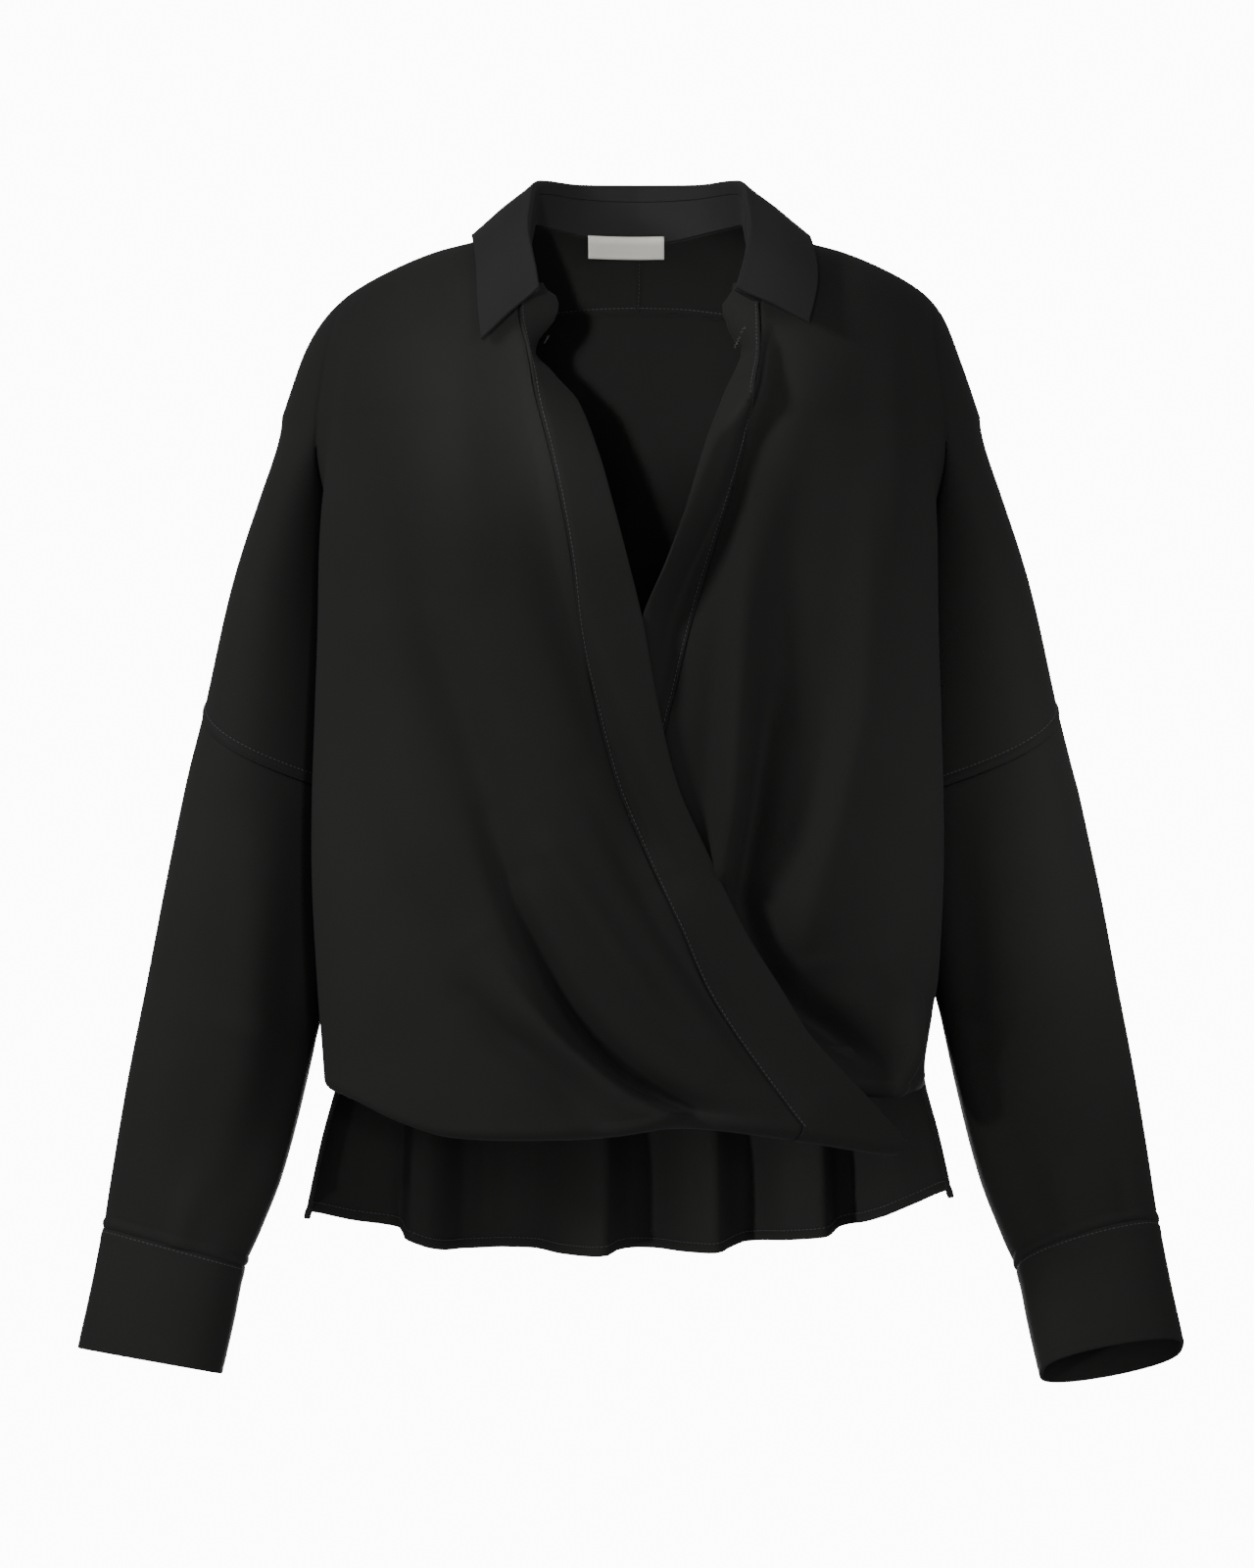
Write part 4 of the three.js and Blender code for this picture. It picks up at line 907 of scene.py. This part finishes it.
def ripple(x, sharp):
    """How far the hem's ripples stand forward. Their steps sharpen towards the hem."""
    places = np.arange(-240, 240, 0.5)
    forward = np.interp(places, RIPPLES["x"], RIPPLES["forward"])
    found = []
    for softness in RIPPLE_SOFTNESS:
        kernel = bump(np.arange(-24, 24.5, 0.5), 0, softness)
        found.append(np.interp(x, places, np.convolve(forward, kernel / kernel.sum(), "same")))
    return mix(*found, sharp)


def back_surface(across, row):
    """Points of the back, with its folds and the ripples of its hem."""
    across, row = np.broadcast_arrays(np.asarray(across, float), np.asarray(row, float))
    guide = hanging_point(1, across, BACK_HEM_GUIDE_Z)
    point = rows_point(1, across, row, read(BACK_HEM, "x", guide[..., 0])["z"])
    inside = 1 - smoothstep(np.abs(across), 0.9, 1)
    fall = smoothstep(row, 2.05, 2.9) * inside
    lift, _, _ = fold_lift(BACK_FOLDS, point[..., 0], point[..., 2])
    point[..., 1] += lift * inside * smoothstep(row, 0.8, 1.2)
    flared = point[..., 0] + RIPPLE_LEAN * (3 - row) * point[..., 0] / 200
    point[..., 1] -= fall * ripple(flared, smoothstep(row, 2.4, 2.85))
    return point


BACK_COLUMNS, BACK_ARM_COLUMNS = 226, 30
BACK_END = BACK_ARM_COLUMNS + BACK_COLUMNS
BACK_ROWS = np.concatenate([
    mix(YOKE_SEAM_TURN, 1.0, spacing(16, 4, 0, 0.1))[:-1],
    1 + spacing(72, 0, 4, 0.03), 2 + spacing(76, 0.5, 2, 0.03)[1:],
])
BACK_DROP = int(np.sum(BACK_ROWS <= 2))
BACK_ARMS = (np.s_[:BACK_DROP, :BACK_ARM_COLUMNS + 1], np.s_[:BACK_DROP, BACK_END - 1:])
BACK_BODY = slice(BACK_ARM_COLUMNS, BACK_END)


def back_panel():
    """The grid of the back, and which of its rows lie beside the open vents."""
    arm = 1 + np.linspace(0, 1, BACK_ARM_COLUMNS + 1)[1:]
    across = np.concatenate([-arm[::-1], spacing(BACK_COLUMNS, 1, 1, 0.02) * 2 - 1, arm])
    grid = back_surface(across[None, :], BACK_ROWS[:, None])
    for side in (0, -1):
        grid[:, side, 1] += SEAM / 2
    for side in (BACK_ARM_COLUMNS, BACK_END - 1):
        grid[BACK_DROP:, side, 1] += SEAM / 2
    normals = outward(grid, grid_normals(grid))
    grid = sewn(grid, normals, "top", (0, 1.4, -0.8))
    lower_edges = [(part, DROP_SEAM) for part in BACK_ARMS] + [(np.s_[:, BACK_BODY], TURNED_HEM)]
    for part, reliefs in lower_edges:
        grid[part] = sewn(grid[part], normals[part], "bottom", *reliefs)
    vent_rows = grid[:, BACK_ARM_COLUMNS, 2] < SIDE_SEAM_END_Z
    for edge in ("left", "right"):
        part = (vent_rows, BACK_BODY)
        grid[part] = sewn(grid[part], normals[part], edge, *TURNED_HEM)
    grid[BACK_DROP:, :BACK_ARM_COLUMNS] = np.nan
    grid[BACK_DROP:, BACK_END:] = np.nan
    return grid, vent_rows


NECK_HALF_WIDTH, NECK_BACK = 67, 64
YOKE_START = -0.002


def neck_turn(across):
    """How far down the turn of the shoulder the neck edge lies. The neck is half an oval."""
    girdle = hanging_point(1, across, GIRDLE_Z)
    reach = np.abs(girdle[..., 0])
    depth = NECK_BACK * np.sqrt(np.clip(1 - (reach / NECK_HALF_WIDTH) ** 2, 0, 1))
    return np.arcsin((depth / girdle[..., 1]) ** (1 / shoulder_power(1, reach))) / (math.pi / 2)


def yoke_panel(columns=90, count=34):
    """One half of the yoke, and where its columns stand."""
    across = YOKE_START + (2 - YOKE_START) * spacing(columns, 6, 0, 0.08) ** 1.25
    first = neck_turn(across)
    turn = mix(first[None, :], YOKE_SEAM_TURN, spacing(count, 1, 4, 0.08)[:, None])
    grid = shoulder_point(1, np.broadcast_to(across[None, :], turn.shape), turn)
    grid[0, first == 0, 1] += SEAM / 2
    grid[:, -1, 1] += SEAM / 2
    normals = outward(grid, grid_normals(grid))
    grid = sewn(grid, normals, "left", (0, 2.4, -1.2), (4.4, 0.8, 0.3))
    grid = sewn(grid, normals, "bottom", (0, 1.2, -0.6), (2.2, 0.7, -0.2), (4, 1.6, 0.4))
    return grid, across


back, vent_rows = back_panel()
yoke, yoke_across = yoke_panel()
cloth("crepe_back", back, LAYER, CREPE)
cloth("crepe_yoke_left", yoke, LAYER, CREPE)
cloth("crepe_yoke_right", mirrored(yoke), LAYER, CREPE)

# %% [markdown]
# The back's hem and its vents are turned and stitched through, so their thread shows on both faces,
# as it does along the yoke's lower seam. The middle seam of the yoke has one line of stitches, on
# the inside of its left half.

# %% Stitches of the back
YOKE_STITCH, CENTRE_STITCH = 3.0, 1.6
arm_runs = [seam_path(back[part], "bottom", DROP_STITCH) for part in BACK_ARMS]
hem_run = seam_path(back[BACK_DROP:, BACK_BODY], "bottom", HEM_STITCH)
vents = [seam_path(back[vent_rows, BACK_BODY], edge, HEM_STITCH) for edge in ("left", "right")]
thread("thread_back", LAYER / 2, *arm_runs, hem_run, inner_face(hem_run), *vents,
       *map(inner_face, vents))
yoke_run = seam_path(yoke, "bottom", YOKE_STITCH)
centre_run = seam_path(yoke, "left", CENTRE_STITCH)
thread("thread_yoke_left", LAYER / 2, yoke_run, inner_face(yoke_run), inner_face(centre_run))
thread("thread_yoke_right", LAYER / 2, mirrored_run(yoke_run), mirrored_run(inner_face(yoke_run)))

# %% [markdown]
# A sleeve is a tube between two rails, the underarm seam inside and the fold line outside. Its top
# ring follows the drop of the body's arm, and it eases into the plain tube further down. The cuff
# goes on along the same rails, doubled, and is cut a little longer at the back of the wrist.

# %% Sleeves and cuffs
INNER_RAIL = table(
    "z x", (-340, 166), (-353, 168), (-403, 179), (-465, 192), (-527, 206), (-589, 222), (-625, 236),
    (-646, 245), (-680, 252), (-716, 260), (-740, 266),
)
OUTER_RAIL = table(
    "z x", (-280, 266), (-294, 269), (-341, 281), (-403, 294), (-465, 306), (-527, 318), (-589, 328),
    (-622, 333), (-660, 340), (-698, 348), (-740, 356),
)
FOREARM = table(
    "down y bulge round front",
    (0, 10, 49, 0, 0), (0.3, 14, 48, 0.5, 0.1), (0.6, 12, 42, 1, 0.4), (0.9, 4, 36, 1, 0.9),
    (1, 1, 32, 1, 1), (1.24, -8, 31, 1, 1),
)
CUFF_END = 1.24
WRIST_INNER_Z, WRIST_OUTER_Z, CUFF_INNER_Z, CUFF_OUTER_Z = -646, -622, -713, -697
UNDERARM_Y, UNDERARM_ROOM = 8, 2.6
SLEEVE_AXIS, CUFF_AXIS = (250, 8), (300, 0)
ARM_RISE = {"right": 4, "left": 14}
# Sleeve folds lie on the flattened sleeve: along it in x, where 0 to 150 is the front from the
# underarm seam outwards and 150 to 300 the back, and down it in z.
HALF_ROUND, SLEEVE_LENGTH = 150, 350
SLEEVE_FOLDS = {}
SLEEVE_FOLDS["left"] = (
    fold(22, 26, 0, (96, -10, 0.9), (90, -165, 3), (84, -330, 1.2)),
    fold(16, 18, 0, (30, -20, -1.2), (34, -150, -4), (40, -300, -1.6)),
    fold(10, 16, 0, (140, -60, 0.8), (132, -175, 2.5), (132, -300, 0.8)),
    fold(12, 9, 0, (10, -150, 0.8), (50, -172, 2.5), (90, -176, 0)),
    fold(12, 8, 0, (14, -190, 0.6), (58, -207, 2), (100, -206, 0)),
    fold(20, 24, 0, (200, -20, 1.2), (206, -160, 4), (214, -320, 1.2)),
    fold(16, 18, 0, (250, -40, -1.2), (244, -165, -4), (238, -300, -1.6)),
    fold(12, 9, 0, (190, -150, 0.9), (232, -166, 3), (280, -160, 0)),
    fold(12, 8, 0, (200, -196, 0.8), (239, -206, 2.5), (284, -200, 0)),
    fold(7, 9, 0, (60, -290, 0.6), (62, -316, 2), (62, -345, 1.6)),
    fold(8, 7, 0, (100, -296, -0.6), (101, -319, -2), (100, -345, -1.6)),
    fold(7, 9, 0, (226, -292, 0.8), (230, -317, 2.5), (232, -345, 2)),
)
SLEEVE_FOLDS["right"] = (
    fold(24, 24, 0, (108, -10, 0.9), (102, -160, 3), (92, -330, 1.2)),
    fold(16, 20, 0, (26, -20, -1.5), (32, -145, -5), (44, -300, -2)),
    fold(14, 20, 0, (62, -60, 0.8), (60, -190, 2.5), (62, -320, 1.2)),
    fold(12, 9, 0, (12, -170, 0.8), (49, -188, 2.5), (92, -190, 0)),
    fold(22, 20, 0, (206, -20, 1.2), (204, -160, 4), (210, -320, 1.2)),
    fold(16, 18, 0, (254, -40, -1.2), (248, -165, -4), (240, -300, -1.6)),
    fold(12, 9, 0, (196, -160, 0.9), (238, -174, 3), (284, -170, 0)),
    fold(7, 9, 0, (70, -294, 0.6), (71, -319, 2), (70, -345, 1.6)),
    fold(9, 7, 0, (220, -290, 0.8), (224, -317, 2.5), (226, -345, 2)),
)


def arm_rings(side, down, around):
    """Rings round the arm. "around" is 0 to 1 on the front and 1 to 2 on the back."""
    down, around = np.broadcast_arrays(down, around)
    shape = read(FOREARM, "down", down)
    past = np.clip((down - 1) / (CUFF_END - 1), 0, 1)
    on_sleeve = np.clip(down, 0, 1)
    inner_z = np.where(down <= 1, mix(UNDERARM_Z, WRIST_INNER_Z, on_sleeve),
                       mix(WRIST_INNER_Z, CUFF_INNER_Z, past))
    outer_z = np.where(down <= 1, mix(DROP_SEAM_Z, WRIST_OUTER_Z, on_sleeve),
                       mix(WRIST_OUTER_Z, CUFF_OUTER_Z, past))
    inner_x = read(INNER_RAIL, "z", inner_z)["x"]
    outer_x = read(OUTER_RAIL, "z", outer_z)["x"]
    facing = np.where(around <= 1, -1.0, 1.0)
    t = np.where(around <= 1, around, 2 - around)
    over = mix(np.sin(math.pi / 2 * t), (1 - np.cos(math.pi * t)) / 2, shape["round"])
    swell = signed_power(np.sin(math.pi * t), ARM_FULLNESS)
    start_y = mix(UNDERARM_Y, shape["y"], shape["round"])
    return np.stack([
        mix(inner_x, outer_x, over),
        mix(start_y, shape["y"], t) + facing * shape["bulge"] * swell,
        mix(inner_z, outer_z, over) - facing * swell * shape["front"] * ARM_RISE[side],
    ], axis=-1)


AROUND = np.linspace(0, 2, 77)[:-1]


def sleeve_panel(side, rows=120):
    """The grid of a sleeve, whose top ring follows the drop of the body's arm."""
    down = spacing(rows, 3, 3, 0.03)
    grid = arm_rings(side, down[:, None], AROUND[None, :])
    t = np.where(AROUND <= 1, AROUND, 2 - AROUND)
    top_z = mix(UNDERARM_Z, DROP_SEAM_Z, t) - 1.5 * SEAM
    top = np.where((AROUND <= 1)[:, None],
                   hanging_point(-1, 1 + t, top_z), hanging_point(1, 1 + t, top_z))
    top[:, 0] += UNDERARM_ROOM * (1 - t) ** 3
    top[0, 1] = UNDERARM_Y
    grid += (1 - smoothstep(down, 0, 0.22))[:, None, None] * (top - grid[0])[None]
    normals = outward(grid, grid_normals(grid, True), *SLEEVE_AXIS)
    flat_x, flat_z = np.meshgrid(AROUND * HALF_ROUND, -SLEEVE_LENGTH * down)
    lift, _, _ = fold_lift(SLEEVE_FOLDS[side], flat_x, flat_z)
    grid += normals * (lift * smoothstep(down, 0.0, 0.1)[:, None])[..., None]
    grid[-1, :, 2] += SEAM / 2
    grid = sewn(grid, normals, "top", (0, 1.0, -0.5))
    return sewn(grid, normals, "bottom", (0, 1.0, -0.5), (3.5, 2.2, 0.9), (7, 0.8, -0.4))


def cuff_panel(side, rows=34):
    """The grid of a cuff."""
    down = mix(1.0, CUFF_END, spacing(rows, 2, 3, 0.08))
    grid = arm_rings(side, down[:, None], AROUND[None, :])
    normals = outward(grid, grid_normals(grid, True), *CUFF_AXIS)
    grid[0, :, 2] -= SEAM / 2
    grid = sewn(grid, normals, "top", (0, 1.0, -0.5), (2.4, 0.7, -0.2), (5, 2, 0.25))
    return sewn(grid, normals, "bottom", (0, 1.0, -0.3), (4.5, 0.8, -0.2))


CUFF_STITCH = 2.4
for side, sign in (("right", -1), ("left", 1)):
    turned, axis_turn = (sign, 1, 1), (sign, 1)
    sleeve, cuff = sleeve_panel(side), cuff_panel(side)
    cloth(f"crepe_sleeve_{side}", sleeve * turned, LAYER, CREPE, True, np.multiply(SLEEVE_AXIS, axis_turn))
    cloth(f"crepe_cuff_{side}", cuff * turned, DOUBLE_LAYER, CREPE, True,
          np.multiply(CUFF_AXIS, axis_turn), True)
    ring = seam_path(cuff, "top", CUFF_STITCH, True, CUFF_AXIS[0])
    thread(f"thread_cuff_{side}", DOUBLE_LAYER / 2,
           [np.concatenate([part, part[:1]]) * turned for part in ring])

# %% [markdown]
# The collar is two pieces. The stand goes up from the neck seam. The leaf is sewn to the stand a
# little below the fold, turns over and falls to its points. Both come from one table that goes from
# the middle of the back round to the front end, and their grids follow it with a round fold.

# %% Collar
COLLAR = table(
    "turn seamX seamY seamZ foldX foldY foldZ edgeX edgeY edgeZ",
    (0, 0, 64, 9, 0, 69, 45, 0, 88, -6),
    (0.2, 38, 54, 11, 37, 59, 44, 62, 76, -2),
    (0.4, 62, 26, 14, 58, 32, 43, 97, 38, 4),
    (0.55, 67, 0, 13, 65.5, 6, 38, 105, 0, 6),
    (0.7, 68, -28, 1, 67.5, -20, 24, 105, -36, -5),
    (0.85, 69, -50, -19, 68.5, -48, 1, 104, -66, -33),
    (1, 68, -70, -43, 60.5, -73, -36, 99, -90, -63),
)
# How far the right and the left point are moved out and up.
TIP_SHIFT = ((-7, -5), (9, 5))
LEAF_SEAM, LEAF_GAP, FOLD_START, FOLD_END_SHARE = 0.74, 0.004, 0.96, 0.03
# The leaf's rise over the straight line from its fold to its edge.
LEAF_RISE = table("fall rise", (0, 0), (0.03, 2), (0.14, 1.5), (0.5, 2), (1, 0))


def collar_lines(around):
    """Neck seam, fold line and outer edge of the collar, from the right front (-1) to the left."""
    row = read(COLLAR, "turn", np.abs(around))
    right = around[:, None] < 0
    tip = np.where(right, *TIP_SHIFT) * smoothstep(np.abs(around), 0.5, 1)[:, None]
    row["edgeX"] += tip[:, 0]
    row["edgeZ"] += tip[:, 1]
    sides = np.where(right, (-1, 1, 1), 1)
    return [sides * np.stack([row[name + axis] for axis in "XYZ"], axis=-1)
            for name in ("seam", "fold", "edge")]


NECK_ROWS, NECK_PLACES, NECK_SMOOTHINGS = 24, 1200, 20


def neck_line(side_front):
    """The neck edge of one side, from the middle of the back along the yoke and down the front."""
    on_yoke = yoke[0][: np.sum(neck_turn(yoke_across) > 0) + 1]
    edge = np.concatenate([on_yoke, side_front[:NECK_ROWS, 0]])
    far = lengths(edge)
    return along_line(edge, far, np.linspace(0, far[-1], NECK_PLACES))


def on_neck(seam):
    """The collar's seam line moved on to the neck edge."""
    moved = seam.copy()
    for sign, side_front in ((-1, right_front), (1, left_front)):
        line = neck_line(side_front) * (sign, 1, 1)
        mine = seam[:, 0] * sign >= 0
        near = np.argmin(np.linalg.norm(seam[mine][:, None] - line[None], axis=-1), axis=1)
        moved[mine] = line[near]
    for _ in range(NECK_SMOOTHINGS):
        moved[1:-1] = (moved[:-2] + 2 * moved[1:-1] + moved[2:]) / 4
    return moved


def collar_panels(columns=150):
    """The grids of the stand and the leaf."""
    seam, crease, edge = collar_lines(spacing(columns, 2, 2, 0.04) * 2 - 1)
    seam = on_neck(seam)
    up = spacing(16, 2, 2, 0.1) * (LEAF_SEAM - LEAF_GAP)
    stand = mix(seam, crease, up[:, None, None])
    rise = mix(LEAF_SEAM + LEAF_GAP, FOLD_START, np.linspace(0, 1, 6))
    inner = mix(seam, crease, rise[:, None, None])
    fall = mix(FOLD_END_SHARE, 1, spacing(30, 1.5, 2, 0.08))
    over = mix(crease, edge, fall[:, None, None])
    over[..., 2] += np.interp(fall, LEAF_RISE["fall"], LEAF_RISE["rise"])[:, None]
    return stand, np.concatenate([inner, over])


stand, leaf = collar_panels()
cloth("crepe_collar_stand", stand, DOUBLE_LAYER, FACED, soft_edge=True)
cloth("crepe_collar_leaf", leaf, DOUBLE_LAYER, FACED, soft_edge=True)

# %% [markdown]
# The neck label is a blank pale ribbon, sewn inside the back of the neck.

# %% Label
LABEL_WIDTH, LABEL_X, LABEL_Z, LABEL_INSIDE, RIBBON_LAYER = 49, -8, 9, 4, 0.8
drop = np.linspace(3, -11, 9)[:, None]
label_x = LABEL_X + np.linspace(-0.5, 0.5, 21)[None, :] * LABEL_WIDTH
neck_y = NECK_BACK * np.sqrt(1 - (label_x / NECK_HALF_WIDTH) ** 2)
label_y = neck_y + np.interp(-drop, (-5, 0, 10), (0.5, 0, 7)) - LABEL_INSIDE
label = np.stack(np.broadcast_arrays(label_x, label_y, LABEL_Z + drop), axis=-1)
cloth("ribbon_label", label, RIBBON_LAYER, RIBBON)

# %% [markdown]
# A glowing sheet of paper stands far behind the top and gives the picture its pale ground.

# %% Backdrop
BACKDROP_GLOW, BACKDROP_SIZE, BACKDROP_PLACE = 12.0, 3.4, (0, 6.0, -0.34)
paper = bpy.data.materials.new("pale_paper")
paper.use_nodes = True
paper_shader = paper.node_tree.nodes["Principled BSDF"]
paper_shader.inputs["Base Color"].default_value = (0.9, 0.9, 0.9, 1)
paper_shader.inputs["Roughness"].default_value = 1.0
paper_shader.inputs["Emission Color"].default_value = (1, 1, 1, 1)
paper_shader.inputs["Emission Strength"].default_value = BACKDROP_GLOW
bpy.ops.object.select_all(action="DESELECT")
bpy.ops.mesh.primitive_plane_add(size=BACKDROP_SIZE, location=BACKDROP_PLACE,
                                 rotation=(math.pi / 2, 0, 0))
backdrop = bpy.context.object
backdrop.name = "backdrop"
backdrop.data.materials.append(paper)
print("backdrop:", BACKDROP_SIZE, "m wide")

# %% [markdown]
# Last, every piece rides on the root body, and the CAD wall that it stands for is hidden. The table
# also lists which slot its finish fills, the flat size in metres that it was cut to and, for a sheet
# that is not a plain rectangle, its area. The thread sewn on a sheet rides on the same body.

# %% What each piece stands for
PIECES = (
    ("crepe_front_right", "front_right", "crepe", (0.46, 0.67), 0.197),
    ("crepe_front_left", "front_left", "crepe", (0.43, 0.64), 0.179),
    ("crepe_band_right", "band_right", "crepe_faced", (0.038, 0.69), None),
    ("crepe_band_left", "band_left", "crepe_faced", (0.036, 0.61), None),
    ("crepe_back", "back", "crepe", (0.65, 0.62), 0.355),
    ("crepe_yoke_right", "yoke_right", "crepe", (0.25, 0.11), 0.019),
    ("crepe_yoke_left", "yoke_left", "crepe", (0.25, 0.11), 0.019),
    ("crepe_collar_stand", "collar_stand", "crepe_faced", (0.32, 0.027), 0.0078),
    ("crepe_collar_leaf", "collar_leaf", "crepe_faced", (0.44, 0.07), 0.026),
    ("crepe_sleeve_right", "sleeve_right", "crepe", (0.3, 0.35), 0.101),
    ("crepe_sleeve_left", "sleeve_left", "crepe", (0.3, 0.35), 0.101),
    ("crepe_cuff_right", "cuff_right", "crepe_faced", (0.25, 0.076), None),
    ("crepe_cuff_left", "cuff_left", "crepe_faced", (0.25, 0.076), None),
    ("ribbon_label", "label", "label", (0.05, 0.018), None),
)
EXTRA_THREAD = {"band_left": ["thread_buttonhole"], "band_right": ["thread_loop"]}
for name, node, slot, flat, area in PIECES:
    piece = bpy.data.objects[name]
    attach(piece, "root")
    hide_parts(node)
    thread_name = f"thread_{node}"
    sewn_on = [thread_name] if thread_name in bpy.data.objects else []
    sewn_on += EXTRA_THREAD.get(node, [])
    for thread_piece in sewn_on:
        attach(bpy.data.objects[thread_piece], "root")
